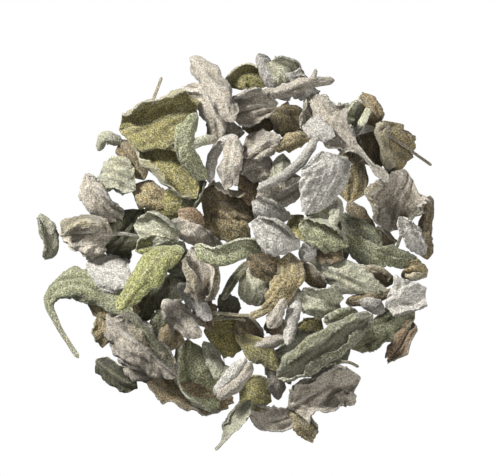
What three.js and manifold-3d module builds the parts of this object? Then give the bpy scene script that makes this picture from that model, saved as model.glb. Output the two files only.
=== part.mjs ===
// A loose bunch of dried sage leaves, lying in a round heap. Millimetres, +Z up.
// Every leaf is one sweep: a rolled, folded or cupped section carried along a curved spine, stalk included.
// The leaves are listed from the bottom of the heap to its top, and each is let down onto those before it.
// Leaves that cling together are joined in one solid.
import * as THREE from 'three';
import Module from 'manifold-3d';

const wasm = await Module();
wasm.setup();

// Thickness of the felted blade, of the stalk, and the widths between which one passes into the other.
const BLADE_THICKNESS = 0.75;
const STALK_THICKNESS = 1.25;
const STALK_WIDTH = 1.6;
const BLADE_WIDTH = 4.0;

// The margin of a rolled leaf turns tighter than its middle, but never below this radius.
const ROLL_TIGHTENING = 1.35;
const SMALLEST_ROLL_RADIUS = 0.95;
const SECTION_STEPS = 24;

// The widths in the list are read between the rims of a leaf, and its margins reach a little beyond them.
const RIM_ALLOWANCE = 1.13;

// Dried leaves spring up along their length: the heights in the list are for a leaf half flattened.
const SPRING = 1.7;

// The wave of the leaf margin, as a share of the width, and its length along the leaf.
const MARGIN_WAVE = 0.05;
const MARGIN_WAVE_LENGTH = 7;

// Both ends of a leaf are pointed: the margin falls short of the midrib by this share of the half width,
// on this power of the distance from the midrib, and by at most this share of the length.
const END_TAPER = 1.05;
const END_POWER = 1.4;
const DEEPEST_CUT = 0.22;

// How the heap settles: the air left between leaves, the bite of a leaf that clings, and the tilts tried.
const AIR_GAP = 0.36;
const CLING_DEPTH = 1.6;
const LEAST_CLING = 0.3;
const STEEPEST_TILT = 0.42;
const STEEPEST_CLINGING_TILT = 0.84;
const TILT_STEP = 0.07;
const TILT_COST = 3;
const CELL = 0.5;
const FIELD = 150;
const CELLS = FIELD / CELL;

const TINTS = {
  olive: 0x73734b,
  green: 0x7c8a5c,
  lime: 0x9aa25a,
  sage: 0xa5aa91,
  grey: 0xa5a096,
  lilac: 0xbebbbc,
  tan: 0x968c6e,
  brown: 0x5c503c,
  russet: 0x8c5f46,
  dark: 0x55554b,
};

// One leaf or stalk: its tint, spine points from base to tip with their heights, and widths seen from above.
// form.curl    left and right margin, in degrees: above 0 rolls up and over, below 0 rolls under
// form.fold    lift of both halves along the midrib, in degrees
// form.roll    bank of the whole leaf about its spine, raising the left side, and form.twist its change
// form.wave    height of the ruffles along the margins, and form.pucker of the dents across the blade
// form.torn    depth of the ragged end at the tip
// form.flat    share of each half next to the midrib that stays flat
// form.level   the leaf lies level, pressed flat on what it rests on
// form.joins   the earlier leaf that this one clings to
const leaf = (name, tint, points, rims, form = {}) => ({
  name,
  tint,
  spine: points.map(([x, y, z]) => [x, y, z * SPRING]),
  widths: rims.map((width) => (width > STALK_WIDTH ? width * RIM_ALLOWANCE : width)),
  form,
});

const LEAVES = [
  leaf('charcoal_leaf', 'dark', [[-14, -8, 0], [-20.5, -12.5, 0], [-27, -18, 0]], [4, 7, 7, 4],
    { curl: [70, 60], flat: 0.5, level: true }),
  leaf('charcoal_strip', 'dark', [[-22.5, -7.5, 0], [-27.5, -14.5, 1], [-30.5, -22.5, 0]], [3, 6, 4],
    { curl: [-70, -80], wave: 0.4, joins: 'charcoal_leaf' }),
  leaf('dark_middle_leaf', 'dark', [[-23, 3, 0], [-20, -2.5, 1], [-14.5, -8, 0]], [5, 8, 5],
    { curl: [60, -70], wave: 0.5, joins: 'charcoal_leaf' }),
  leaf('low_olive_leaf', 'olive', [[16, -30.5, 0], [20, -26, 0], [24.5, -20.5, 0]], [5, 8, 8, 5],
    { curl: [50, 70], flat: 0.5, level: true }),
  leaf('brown_under_roll', 'brown', [[8.5, -19.5, 0], [12.5, -24, 0.8], [19.5, -29, 0]], [3.6, 6, 4.6],
    { curl: [110, -60], wave: 0.4, joins: 'low_olive_leaf' }),
  leaf('broad_sage_leaf', 'sage', [[25, -25.5, 0], [17, -31, 1], [7.5, -37.5, 0]], [4, 10, 10, 4],
    { curl: [-40, 120], wave: 0.5, joins: 'low_olive_leaf' }),
  leaf('low_tan_leaf', 'tan', [[30.5, 30, 0], [33.5, 22.5, 0], [33, 14, 0]], [5, 8.8, 9, 5],
    { curl: [60, 45], flat: 0.5, level: true }),
  leaf('ring_shadow_leaf', 'brown', [[38, 37, 0], [40, 31, 1], [42.5, 24.5, 0]], [3.5, 7.4, 4],
    { curl: [-60, 60], wave: 0.5, joins: 'low_tan_leaf' }),
  leaf('dark_curled_bit', 'brown', [[33, 36, 0], [34.5, 31, 1], [34.5, 25.5, 0]], [2.6, 4.8, 3.2],
    { curl: [90, -60], wave: 0.4, joins: 'low_tan_leaf' }),
  leaf('brown_crumple', 'brown', [[0.5, 36.5, 0], [5.5, 38, 1], [11, 37.5, 0]], [4, 6.5, 6, 4],
    { curl: [150, -60], wave: 0.6, pucker: 0.5 }),
  leaf('grey_shoulder', 'grey', [[-8, 37.5, 0], [-3.6, 35.7, 1], [1.5, 35.5, 0]], [3.4, 5.4, 4],
    { curl: [-60, -80], wave: 0.5, joins: 'brown_crumple' }),
  leaf('tan_olive_leaf', 'tan', [[9, 42, 0], [14, 38.5, 1.5], [18.5, 33.5, 0]], [5, 9, 8.5, 4],
    { curl: [-40, -70], roll: 12, wave: 0.5, joins: 'brown_crumple' }),
  leaf('left_flat_leaf', 'dark', [[-40, -2, 0], [-34.5, 4.5, 1], [-29, 12.5, 0.5]], [4, 10.5, 10.5, 5],
    { curl: [-30, 40], roll: -8, wave: 0.6 }),
  leaf('low_green_leaf', 'dark', [[-43.5, -33, 0], [-38, -37.5, 1], [-31, -42, 0]], [2.5, 6, 6.5, 3],
    { curl: [50, -60], wave: 0.4 }),
  leaf('grey_pink_fold', 'grey', [[-37, -32, 0], [-27, -36.5, 2], [-15, -41.5, 0]], [3, 5.5, 6, 3],
    { curl: [-150, -60], wave: 0.4, joins: 'low_green_leaf' }),
  leaf('flat_olive_leaf', 'green', [[53, -18.5, 0], [43.5, -23.5, 1.5], [32.5, -29.5, 0]], [3, 8, 7.5, 4],
    { curl: [35, -50], wave: 0.5 }),
  leaf('dark_under_leaf', 'dark', [[20, -37.5, 0], [26.5, -33.5, 1], [33.5, -29, 0]], [3, 5.4, 4],
    { curl: [60, -70], wave: 0.5, joins: 'flat_olive_leaf' }),
  leaf('thin_lower_twig', 'tan', [[28, -34, 0], [32.5, -33.9, 0.4], [36, -35.4, 0]], [1.5, 1.4, 1.4],
    { joins: 'dark_under_leaf' }),
  leaf('ragged_russet_leaf', 'russet', [[52, -21, 0], [49, -27.5, 1.5], [44, -34.5, 0]], [3, 4.8, 4.2, 2],
    { curl: [80, -90], wave: 0.5, torn: 2, joins: 'flat_olive_leaf' }),
  leaf('dark_green_leaf', 'olive', [[-0.5, -41, 0], [4.5, -43.5, 1], [9.5, -46, 0]], [5, 9, 8, 4],
    { curl: [60, 40], wave: 0.7 }),
  leaf('netted_grey_boat', 'grey', [[2, -48, 0.5], [10, -51, -0.5], [18.5, -49.5, 1]], [3, 6.8, 6.5, 2.5],
    { curl: [95, 80], wave: 0.4, joins: 'dark_green_leaf' }),
  leaf('bottom_fragment', 'tan', [[15, -48.5, 0], [19.5, -53, 0.8], [22.5, -58.5, 0]], [4, 5, 4],
    { curl: [60, -70], wave: 0.4, torn: 1.2, joins: 'netted_grey_boat' }),
  leaf('stalked_bit', 'sage', [[-7.5, -60.5, 0], [-5, -57.5, 0.4], [-2.6, -53, 0.8], [3.6, -45, 1]],
    [1.1, 1.2, 2.6, 4.6, 4], { curl: [70, 70], joins: 'dark_green_leaf' }),
  leaf('curled_grey_end', 'grey', [[8.5, -36.6, 0], [10.8, -40.4, 1], [11.6, -45.4, 0]], [2.2, 3.8, 2.6],
    { curl: [-100, -100], joins: 'dark_green_leaf' }),
  leaf('creamy_edged_leaf', 'olive', [[-11, -24.5, 0], [-3.5, -24.5, 1.5], [4.5, -27, 0]], [6, 11, 10.5, 5],
    { curl: [130, -30], wave: 0.6, pucker: 0.4 }),
  leaf('dark_lower_bit', 'brown', [[-12.5, -14.5, 0], [-10.4, -19, 0.8], [-9, -24, 0]], [3.5, 6, 4],
    { curl: [-50, 80], joins: 'creamy_edged_leaf' }),
  leaf('dark_olive_pad', 'dark', [[-6.2, -13.4, 0], [-3.6, -16.6, 0.8], [-1.8, -21, 0]], [3.4, 6, 4.6],
    { curl: [-50, -60], joins: 'creamy_edged_leaf' }),
  leaf('dark_fold', 'brown', [[-1, -20, 0], [2.6, -24, 1], [7, -29, 0]], [4, 6.4, 3.6],
    { curl: [110, -60], joins: 'creamy_edged_leaf' }),
  leaf('ragged_olive_leaf', 'olive', [[-1.5, -24.8, 0], [5.4, -30, 1], [12.5, -36.5, 0]], [3, 6, 5.4, 2.4],
    { curl: [-50, -40], wave: 0.6, torn: 1.5, joins: 'dark_fold' }),
  leaf('grey_cross_strip', 'grey', [[3, -29.2, 0], [9.6, -27.4, 0.6], [16.2, -25.2, 0]], [2.4, 2.8, 2],
    { curl: [-80, -80], joins: 'ragged_olive_leaf' }),
  leaf('brown_fan_leaf', 'brown', [[-28, -40, 0], [-16.5, -43.8, 1], [-1, -46.4, 0]], [3, 6.4, 7.5, 5],
    { curl: [-50, 60], wave: 0.6, torn: 1.5 }),
  leaf('pebbled_green_leaf', 'green', [[-16, -27, 0.5], [-14.5, -38, 2.5], [-7, -49, 0]], [4, 10.5, 10.5, 3],
    { curl: [-60, 150], wave: 0.6, joins: 'brown_fan_leaf' }),
  leaf('pale_hook', 'sage', [[-11, -27.5, 0], [-8, -33, 0.5], [-5.5, -37, 0], [-2.5, -35.5, 0.5]],
    [2.5, 3.4, 3.2, 2.4], { curl: [-120, -120], joins: 'creamy_edged_leaf' }),
  leaf('dark_brown_leaf', 'brown', [[-12.5, 17, 0], [-3.5, 13.8, 1.5], [6, 11, 0]], [8, 11.5, 11, 6],
    { curl: [140, -60], wave: 0.8, pucker: 0.5 }),
  leaf('pink_brown_strip', 'russet', [[-1, 23, 0], [2.6, 18.2, 0.8], [7, 12.6, 0]], [2.6, 4.6, 3],
    { curl: [-70, -70], joins: 'dark_brown_leaf' }),
  leaf('light_brown_leaf', 'tan', [[-11.5, 10, 0], [-4.5, 7, 1], [3.5, 2.5, 0]], [4, 8.6, 8, 5],
    { curl: [-60, 60], wave: 0.5, joins: 'dark_brown_leaf' }),
  leaf('ribbed_dark_leaf', 'olive', [[-29, 11.5, 0], [-20.5, 14, 1], [-11, 16, 0]], [4, 7.4, 6.4, 4],
    { curl: [-70, -60], fold: -8, wave: 0.4 }),
  leaf('grey_brown_strip', 'tan', [[-33, 19, 0], [-27.5, 16.5, 1], [-22, 13.5, 0]], [3, 7, 6.4, 3],
    { curl: [-90, -90], joins: 'ribbed_dark_leaf' }),
  leaf('pale_edged_fold', 'green', [[-11.5, 22, 0], [-14, 17, 1.5], [-17.5, 11.5, 0]], [3, 6.2, 6, 3],
    { curl: [120, -40], fold: 10, joins: 'ribbed_dark_leaf' }),
  leaf('brown_grey_leaf', 'brown', [[-36.5, 33.5, 0], [-32.5, 28.5, 1], [-29, 21, 0]], [3, 5.8, 5.6, 3],
    { curl: [-80, -60], wave: 0.4 }),
  leaf('little_arch', 'sage', [[-43, 30, 0], [-40.5, 34, 2], [-35.5, 32, 1]], [1.8, 2.8, 2.4],
    { curl: [-90, -90], joins: 'brown_grey_leaf' }),
  leaf('lower_olive_leaf', 'olive', [[-32.5, 34, 0], [-22.5, 25.5, 2], [-13, 15.5, 0]], [3, 10.5, 10.5, 3],
    { curl: [-50, 150], wave: 0.5, joins: 'brown_grey_leaf' }),
  leaf('grey_tan_leaf', 'tan', [[-47, -15, 0], [-39, -17.5, 1], [-30, -18.5, 0]], [4, 7.4, 7.2, 5],
    { curl: [30, -60], wave: 0.4 }),
  leaf('olive_tan_bit', 'tan', [[-42.8, -19.5, 0], [-41.4, -25, 0.8], [-42, -29.8, 0]], [3, 4.8, 3],
    { curl: [-60, 60], wave: 0.5, torn: 1, joins: 'grey_tan_leaf' }),
  leaf('grey_left_bit', 'grey', [[-39.6, -18.6, 0], [-37.2, -24.6, 1], [-35, -30.5, 0]], [3, 5.6, 3.6],
    { curl: [-80, -60], wave: 0.5, joins: 'grey_tan_leaf' }),
  leaf('short_grey_bit', 'sage', [[-43, -10.5, 0], [-40, -13.5, 0.8], [-38, -16.5, 0]], [2.4, 3.8, 3],
    { curl: [-80, -80], joins: 'grey_tan_leaf' }),
  leaf('grey_green_bit', 'green', [[-22, -17.5, 0], [-24, -22, 0.8], [-25.5, -28, 0]], [3.4, 6, 3.4],
    { curl: [-60, -90] }),
  leaf('brown_bit', 'brown', [[-18, -20.5, 0], [-20.5, -25.5, 1], [-22.5, -31, 0]], [3.4, 6.4, 3.6],
    { curl: [-70, -70], joins: 'grey_green_bit' }),
  leaf('stray_roll', 'sage', [[-59, -3, 0], [-57.8, 1, 0.5], [-59, 6, 1], [-60.5, 11, 0]], [2, 4.2, 4.2, 2.4],
    { curl: [190, -50], roll: 10 }),
  leaf('pale_sage_leaf', 'sage', [[-43.5, 20.5, 0], [-37.5, 21.5, 1.2], [-31.5, 18, 0]], [5, 8.8, 7.5, 4],
    { curl: [-60, 130], wave: 0.4 }),
  leaf('pointed_fold', 'grey', [[-46.5, 23, 0], [-42, 16, 2], [-35.5, 9, 0]], [1.8, 6.6, 6.8, 3],
    { curl: [110, -40], fold: 14, wave: 0.4, joins: 'left_flat_leaf' }),
  leaf('grey_pink_roll', 'grey', [[-0.5, 23.5, 0], [5, 25, 1.2], [10.5, 25.5, 0]], [5, 7.4, 7, 4],
    { curl: [-120, -130], wave: 0.3 }),
  leaf('top_olive_fold', 'olive', [[-4, 49.5, 0], [1.5, 53.5, 1.5], [9, 50, 0]], [3, 6.2, 6.2, 3],
    { curl: [110, -30], fold: 8, wave: 0.4 }),
  leaf('top_light_roll', 'lilac', [[5.5, 59, 0], [9.5, 52, 1.5], [15, 45, 0]], [2.6, 4.2, 4.4, 3],
    { curl: [-150, -150] }),
  leaf('top_green_crumple', 'sage', [[8.5, 56, 0], [13.5, 53.5, 1.5], [18, 49, 0]], [3.6, 6.4, 5.8, 3.2],
    { curl: [100, -80], wave: 0.7, pucker: 0.5, joins: 'top_light_roll' }),
  leaf('top_grey_crumple', 'lilac', [[14, 53, 0], [19, 48.8, 1.2], [24, 44.6, 0]], [3, 5.6, 3.6],
    { curl: [90, -90], wave: 0.8, pucker: 0.5, torn: 1, joins: 'top_green_crumple' }),
  leaf('narrow_grey_roll', 'grey', [[6, 46.5, 0], [13.5, 47.5, 1], [20, 50, 1.5], [28.5, 51, 0]],
    [2.2, 3, 2.6, 1.6], { curl: [-130, -130] }),
  leaf('top_stub', 'grey', [[21, 49.4, 0], [22, 51.8, 0.6], [22.8, 54.4, 0.6]], [1.8, 2, 1.6],
    { joins: 'narrow_grey_roll' }),
  leaf('grey_brown_boat', 'grey', [[-4, 42, 0], [3, 43.5, 1.5], [11.5, 44, 0]], [3.4, 8.4, 7.6, 2.6],
    { curl: [95, 60], roll: 10, wave: 0.5 }),
  leaf('brown_boat', 'brown', [[41, 36, 0], [39.5, 42, 1], [36.5, 48, 0]], [2.6, 5.2, 4.6, 2.2],
    { curl: [90, -60], torn: 1.2 }),
  leaf('pale_v_fold', 'sage', [[31.5, 34.5, 0], [34.5, 39.5, 1.5], [37.5, 44, 0]], [2.4, 5.6, 5, 2.4],
    { curl: [40, 40], fold: 42, joins: 'brown_boat' }),
  leaf('right_stub', 'lilac', [[33.5, 35.6, 0], [37, 36.2, 0.6], [41, 36.4, 0]], [1.8, 2.4, 1.6],
    { curl: [-60, -60], joins: 'pale_v_fold' }),
  leaf('green_disc', 'green', [[27, 41.5, 0], [30.5, 40.5, 0.6], [34.5, 39, 0]], [3.6, 6.2, 4],
    { curl: [-50, -50], joins: 'pale_v_fold' }),
  leaf('ringed_tan_leaf', 'tan', [[42.5, 39, 0], [44.6, 31.5, 1.5], [46.5, 22, 0]], [2.4, 9, 8.6, 4],
    { curl: [-40, 250], wave: 0.3 }),
  leaf('thin_right_stalk', 'russet', [[43.5, 35, 0], [50.5, 30.5, 0.4], [58, 25.5, 0]], [1.5, 1.3, 1.3],
    { joins: 'ringed_tan_leaf' }),
  leaf('right_brown_roll', 'brown', [[32.5, 14.5, 0], [37, 9, 1], [42.5, 2.5, 0]], [2.6, 3.8, 3.8, 2.6],
    { curl: [-150, -120] }),
  leaf('right_brown_crumple', 'brown', [[39.5, 5.5, 0], [43, 3.5, 1], [46.5, 0, 0]], [3.2, 6, 4],
    { curl: [120, -60], wave: 0.6, joins: 'right_brown_roll' }),
  leaf('toothed_green_leaf', 'green', [[28, 7.5, 0], [35.5, 6, 1.2], [43, 1, 0]], [3.6, 6.4, 6, 3],
    { curl: [-60, -60], wave: 0.6, pucker: 0.3 }),
  leaf('dark_stalk', 'dark', [[33.5, 5.5, 0], [32, 1, 0.6], [30.5, -4, 0]], [2, 2.6, 2],
    { curl: [-90, -90], joins: 'toothed_green_leaf' }),
  leaf('green_half_leaf', 'green', [[30, 4, 0], [37.5, -0.6, 1], [44, -5, 0]], [3, 6.8, 4],
    { curl: [-70, -60], wave: 0.4 }),
  leaf('grey_green_strip', 'green', [[40.5, 0, 0], [48, -2.5, 1], [55, -4, 0]], [3, 4.8, 3.6],
    { curl: [-80, -60], wave: 0.4, joins: 'green_half_leaf' }),
  leaf('curled_loop', 'tan', [[57, -6, 0], [53, -7, 0.8], [48.5, -8, 0]], [3.4, 5.8, 5.2],
    { curl: [230, -60], joins: 'grey_green_strip' }),
  leaf('dark_right_roll', 'brown', [[57.5, 16.5, 0], [56.7, 10, 1], [55.5, 3, 1.2], [56.5, -3, 0]],
    [2.4, 3.2, 3.2, 3.8, 3], { curl: [-130, -130] }),
  leaf('warm_grey_cup', 'grey', [[49.5, 24.5, 1], [46, 13.5, 0], [44.5, 4.5, 1.5]], [13, 15.5, 13, 4],
    { curl: [110, 140], wave: 0.7, torn: 1.5 }),
  leaf('thin_dark_stem', 'dark', [[55, 13.5, 0], [51.5, 9.5, 0.4], [49, 6, 0.4], [47, 0.5, 0]],
    [1.5, 1.4, 1.4, 1.5], { joins: 'warm_grey_cup' }),
  leaf('lilac_boat', 'lilac', [[47.5, 10, 0], [52, 4, 0.6], [55.5, -1.5, 0]], [2.6, 5, 3],
    { curl: [110, 100], joins: 'thin_dark_stem' }),
  leaf('brown_ring', 'brown', [[33, -6.5, 0], [41, -7, 1], [46, -10.5, 0]], [3, 5.6, 4.4],
    { curl: [200, -60], wave: 0.4 }),
  leaf('smooth_green_leaf', 'sage', [[20.5, -1.5, 0], [31.5, -7.5, 2.2], [44.5, -13, 0]], [3, 7.4, 7.2, 2.6],
    { curl: [-80, -70], wave: 0.3, joins: 'brown_ring' }),
  leaf('dark_wedge', 'brown', [[47, -12.6, 0], [40, -14, 0.8], [31.8, -16, 0]], [2, 3.8, 2.6],
    { curl: [-90, -70], joins: 'smooth_green_leaf' }),
  leaf('grey_wedge_bit', 'lilac', [[36, -15, 0], [40, -16.8, 0.6], [43.6, -18.6, 0]], [2.2, 3.8, 2.6],
    { curl: [-70, -70], joins: 'dark_wedge' }),
  leaf('dark_brown_knot', 'brown', [[22, 2.5, 0], [26, 0, 1], [31, -2.5, 0]], [4, 6.5, 4],
    { curl: [130, -60], wave: 0.5 }),
  leaf('dark_olive_bit', 'olive', [[15, 10.5, 0], [18.5, 6.5, 1], [23.4, 2.4, 0]], [3.4, 6, 4],
    { curl: [-50, 60], wave: 0.4, joins: 'dark_brown_knot' }),
  leaf('dark_inner_leaf', 'dark', [[18.5, 14.5, 0], [23.5, 12, 1], [29, 7.5, 0]], [4, 7, 4],
    { curl: [60, -60], wave: 0.4, joins: 'dark_olive_bit' }),
  leaf('pale_bit', 'lilac', [[22.5, 3, 0], [20.5, -0.5, 1], [18.5, -4, 0]], [3, 4.4, 3],
    { curl: [-90, -90], joins: 'dark_brown_knot' }),
  leaf('brown_curl', 'brown', [[18, -3.8, 0], [21.8, -7.6, 1], [26, -11.4, 0]], [3, 4.4, 3],
    { curl: [120, -60], wave: 0.4, joins: 'pale_bit' }),
  leaf('tan_green_leaf', 'green', [[17.5, 7.5, 0], [24.5, 5.5, 1.2], [32.5, 1, 0]], [4, 7.6, 7, 3],
    { curl: [140, -60], wave: 0.5, joins: 'dark_brown_knot' }),
  leaf('pale_green_hook', 'sage', [[23, 15, 0], [27.5, 14.5, 1], [28.5, 10.5, 1], [27, 6.5, 0]],
    [2.2, 3.4, 3.2, 2.2], { curl: [-110, -110], joins: 'tan_green_leaf' }),
  leaf('pale_green_leaf', 'sage', [[0.5, -6, 0], [4.5, -11.5, 1.2], [9, -16.5, 0]], [4, 8, 7.4, 4],
    { curl: [-60, -50], wave: 0.4 }),
  leaf('thin_dark_stick', 'dark', [[2.5, -3.5, 0], [-1.5, -8.5, 0.4], [-5.5, -15, 0]], [2.2, 3, 2.2],
    { joins: 'pale_green_leaf' }),
  leaf('grey_brown_leaf', 'brown', [[1.5, 0.5, 0], [8.4, -5, 1], [15, -11, 0]], [4, 7.4, 7, 4],
    { curl: [70, -70], wave: 0.4, joins: 'pale_green_leaf' }),
  leaf('centre_grey_leaf', 'grey', [[5, 15.5, 0], [12.5, 17.5, 1.5], [20, 21.5, 0]], [4, 8.4, 8, 3.6],
    { curl: [-70, -90], wave: 0.4 }),
  leaf('pale_sage_oval', 'sage', [[13, 29, 0], [12.5, 24, 1], [12, 18.5, 0]], [3, 5.6, 4],
    { curl: [-60, -60], joins: 'centre_grey_leaf' }),
  leaf('twisted_strip', 'lilac', [[3.5, 14.5, 0], [9.5, 12, 1], [15.5, 9.5, 0]], [3.6, 6, 5.6, 3],
    { curl: [160, -60], twist: 50, joins: 'centre_grey_leaf' }),
  leaf('green_arched_roll', 'green',
    [[-48.5, -32.5, 0], [-54.5, -23.5, 1], [-57.5, -15.5, 2.5],
      [-51, -11, 3], [-41, -13.5, 1.5], [-32, -19, 0.5]],
    [1.5, 1.6, 3.2, 7, 8, 5], { curl: [-70, -120] }),
  leaf('pale_cone', 'lilac', [[-46.5, -4, 0], [-39.5, -6.5, 1.5], [-32, -9.5, 2]], [3, 8.4, 9, 8],
    { curl: [-110, -100], joins: 'green_arched_roll' }),
  leaf('creased_grey_leaf', 'grey', [[-39.5, -21, 0], [-30, -28.5, 1.5], [-18.5, -38, 0]], [6, 11, 9, 3.5],
    { curl: [170, -130], wave: 0.5 }),
  leaf('dark_strip', 'dark', [[-32.5, -18.5, 0], [-27, -26, 1], [-20, -35, 0]], [2, 3, 2.6, 1.7],
    { curl: [-90, -90], joins: 'creased_grey_leaf' }),
  leaf('light_grey_roll', 'grey', [[-23, -15, 0], [-18, -20.5, 1.5], [-11.5, -26, 0]], [3, 5.6, 5.6, 3.4],
    { curl: [-150, -140] }),
  leaf('lilac_grey_roll', 'lilac', [[-18.5, -10, 0], [-13.5, -15.5, 1], [-8.5, -21, 0]], [2.6, 3.8, 3.8, 2.6],
    { curl: [-140, -140] }),
  leaf('hairpin_roll', 'lilac', [[2, -32.5, 0], [-3, -38.5, 1.5], [-7.5, -43.5, 0]], [2.6, 3.6, 3.6, 3],
    { curl: [-140, -140] }),
  leaf('hairpin_return', 'grey', [[3.5, -33.5, 0], [-0.5, -40, 1], [-7, -44.5, 0]], [2.2, 2.8, 2.8, 2.6],
    { curl: [-120, -120], joins: 'hairpin_roll' }),
  leaf('warm_grey_crumple', 'grey', [[14.5, -47.5, 0], [24, -42.5, 1.5], [36.5, -38.5, 0]], [5, 9.5, 10, 6],
    { curl: [110, 80], wave: 0.9, pucker: 0.6 }),
  leaf('lower_right_bit', 'grey', [[28.5, -43.5, 0], [32.4, -44.6, 0.6], [35.2, -43.4, 0]], [2.4, 3.4, 2.4],
    { curl: [60, -60], torn: 0.8, joins: 'warm_grey_crumple' }),
  leaf('pale_stalk', 'lilac', [[17, -11, 0], [16, -19, 1.5], [14, -28.5, 0]], [2.2, 3, 3, 2.2],
    { curl: [-120, -120] }),
  leaf('lobed_light_leaf', 'sage', [[17, -13.5, 0], [24.5, -15, 1.2], [32, -14.5, 0]], [3.5, 7.4, 7.4, 4],
    { curl: [120, -50], wave: 0.7, torn: 1.5, joins: 'pale_stalk' }),
  leaf('tan_stalked_leaf', 'tan', [[3, -20.5, 0], [9.5, -16, 1], [14.5, -8.5, 2], [15, -0.5, 0]],
    [2.4, 3, 6.6, 7, 4], { curl: [-60, -60], wave: 0.4 }),
  leaf('thin_tan_twig', 'tan', [[-8.4, -18.6, 0], [-1, -19.4, 0.4], [5.6, -19.6, 0]], [1.5, 1.5, 1.5],
    { joins: 'tan_stalked_leaf' }),
  leaf('small_grey_roll', 'grey', [[13.5, -14.5, 0], [11, -19, 0.8], [8.5, -23.5, 0]], [2.4, 3.6, 2.6],
    { curl: [-110, -110], joins: 'tan_stalked_leaf' }),
  leaf('pink_tan_leaf', 'russet', [[-18.5, 12, 0], [-14.5, 9, 1], [-11, 6, 0]], [3, 5.8, 4],
    { curl: [-50, -50] }),
  leaf('slim_grey_roll', 'grey', [[-20.5, 9, 0], [-14.5, 5, 1.5], [-4.5, 0.5, 0]], [2.8, 4.4, 4.4, 2.6],
    { curl: [-140, -140], joins: 'pink_tan_leaf' }),
  leaf('light_double_roll', 'grey', [[-14.5, 1, 0], [-11, -7.5, 1.5], [-12, -16, 0]], [4, 8.6, 8.4, 5],
    { curl: [190, 180] }),
  leaf('creamy_wavy_leaf', 'green', [[-13.5, 1.5, 0], [-6.5, -2, 1], [0.5, 1, 1.2], [7, 0.5, 0]],
    [3, 5.6, 5.6, 3], { curl: [100, -50], wave: 0.6 }),
  leaf('centre_light_leaf', 'lilac', [[3.5, 8.5, 0], [10.5, 5, 1.5], [18, 0.5, 0]], [4, 8, 7.8, 4],
    { curl: [150, -60], wave: 0.5 }),
  leaf('grey_top_roll', 'grey', [[-18, 48.5, 0], [-11, 47, 1.5], [-7.5, 40.5, 1.5], [-6.5, 32, 0]],
    [3.4, 5.4, 5.6, 4], { curl: [-150, -140] }),
  leaf('long_grey_roll', 'grey', [[-15, 58.5, 0], [-9.5, 52, 1.5], [-5, 45, 1.5], [-2, 38, 0]],
    [3.4, 5.8, 5.4, 3.6], { curl: [-150, -140] }),
  leaf('warm_thick_roll', 'grey', [[0.5, 28.5, 0], [6, 31.5, 1.5], [12, 34, 0]], [4.4, 6.8, 6.4, 4],
    { curl: [-150, -150] }),
  leaf('dark_band', 'tan', [[9.5, 30.5, 0], [15, 32.5, 0.8], [21.5, 34.5, 0]], [2.8, 4, 3],
    { curl: [-90, -90], joins: 'warm_thick_roll' }),
  leaf('crumpled_stalked_leaf', 'grey',
    [[44.5, 20, 0], [38.5, 26.5, 1], [31.5, 32.5, 2], [25, 38.5, 2.5], [20.5, 47, 0.5]],
    [2, 2.2, 2.3, 8.6, 10, 4], { curl: [100, 70], wave: 0.8, pucker: 0.6 }),
  leaf('long_pale_stalk', 'lilac', [[23.5, 35.5, 0], [20, 29, 1], [15, 23.5, 1], [5, 18, 0]],
    [2, 2.5, 2.5, 2],
    { curl: [-70, -70] }),
  leaf('lilac_shoulder', 'lilac', [[18.6, 37, 0], [23.2, 35.8, 0.8], [28.4, 34, 0]], [3, 5.8, 3],
    { curl: [-60, -60], wave: 0.5, joins: 'long_pale_stalk' }),
  leaf('lilac_arch', 'lilac', [[-9, 20, 0], [-8.5, 27, 1], [-5.5, 32, 2], [-0.5, 34, 1]], [2, 2.6, 2.6, 2.4],
    { curl: [-90, -90] }),
  leaf('light_standing_roll', 'grey', [[-1.5, 34.5, 0], [-2.5, 27, 1.5], [-4.5, 18, 0]], [3, 4.6, 4.4, 3],
    { curl: [-150, -140], joins: 'lilac_arch' }),
  leaf('second_strand', 'grey', [[-1.2, 33, 0], [-0.8, 26, 0.6], [-1.4, 19, 0]], [1.8, 2, 1.8],
    { joins: 'light_standing_roll' }),
  leaf('house_shaped_leaf', 'lilac', [[24.5, 29.5, 0.5], [25, 22, 1.5], [19, 10, 0]], [9, 12.5, 9.5, 3],
    { curl: [-40, -50], fold: 5, wave: 0.6, torn: 1 }),
  leaf('very_pale_leaf', 'lilac', [[43.5, -17, 0], [49.5, -14.5, 1.5], [56, -11.5, 0]], [4, 9, 8.6, 4],
    { curl: [-60, 110], wave: 0.7 }),
  leaf('spiral_scroll', 'sage', [[25, -21.5, 0], [30, -20, 0.6], [35.5, -18.5, 0]], [4.6, 5.6, 5.6, 4.4],
    { curl: [320, -40] }),
  leaf('long_double_roll', 'sage', [[40, -19.5, 0], [31.5, -25, 2], [21.5, -31.5, 2.5], [11, -38.5, 0]],
    [2.6, 6.6, 8, 7.6, 2.6], { curl: [170, 150] }),
  leaf('light_curled_cup', 'grey', [[-54.5, 4.5, 0], [-46.5, 5.2, 2.5], [-38, 4.5, 1]], [4, 9.8, 10.5, 6],
    { curl: [200, -120], wave: 0.5 }),
  leaf('lower_cup_layer', 'grey', [[-50, 1.5, 0], [-45, 1, 1], [-40, 0, 0]], [3, 4.6, 3],
    { curl: [-90, -90], joins: 'light_curled_cup' }),
  leaf('pale_petiole', 'lilac', [[-39.6, 4.6, 0], [-35, 4.8, 0.4], [-30.5, 3.9, 0]], [1.6, 1.6, 1.6],
    { joins: 'light_curled_cup' }),
  leaf('yellow_sage_leaf', 'sage', [[-18.5, 3, 0], [-24.5, 6, 1.8], [-32, 7.5, 0]], [4, 9.6, 9.4, 3],
    { curl: [-50, 140], wave: 0.5 }),
  leaf('yellow_green_fold', 'lime', [[-31.5, -0.4, 0], [-25.2, 2, 0.8], [-18.8, 1.2, 0]], [3, 5, 4],
    { curl: [90, -60], wave: 0.4, joins: 'yellow_sage_leaf' }),
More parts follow.
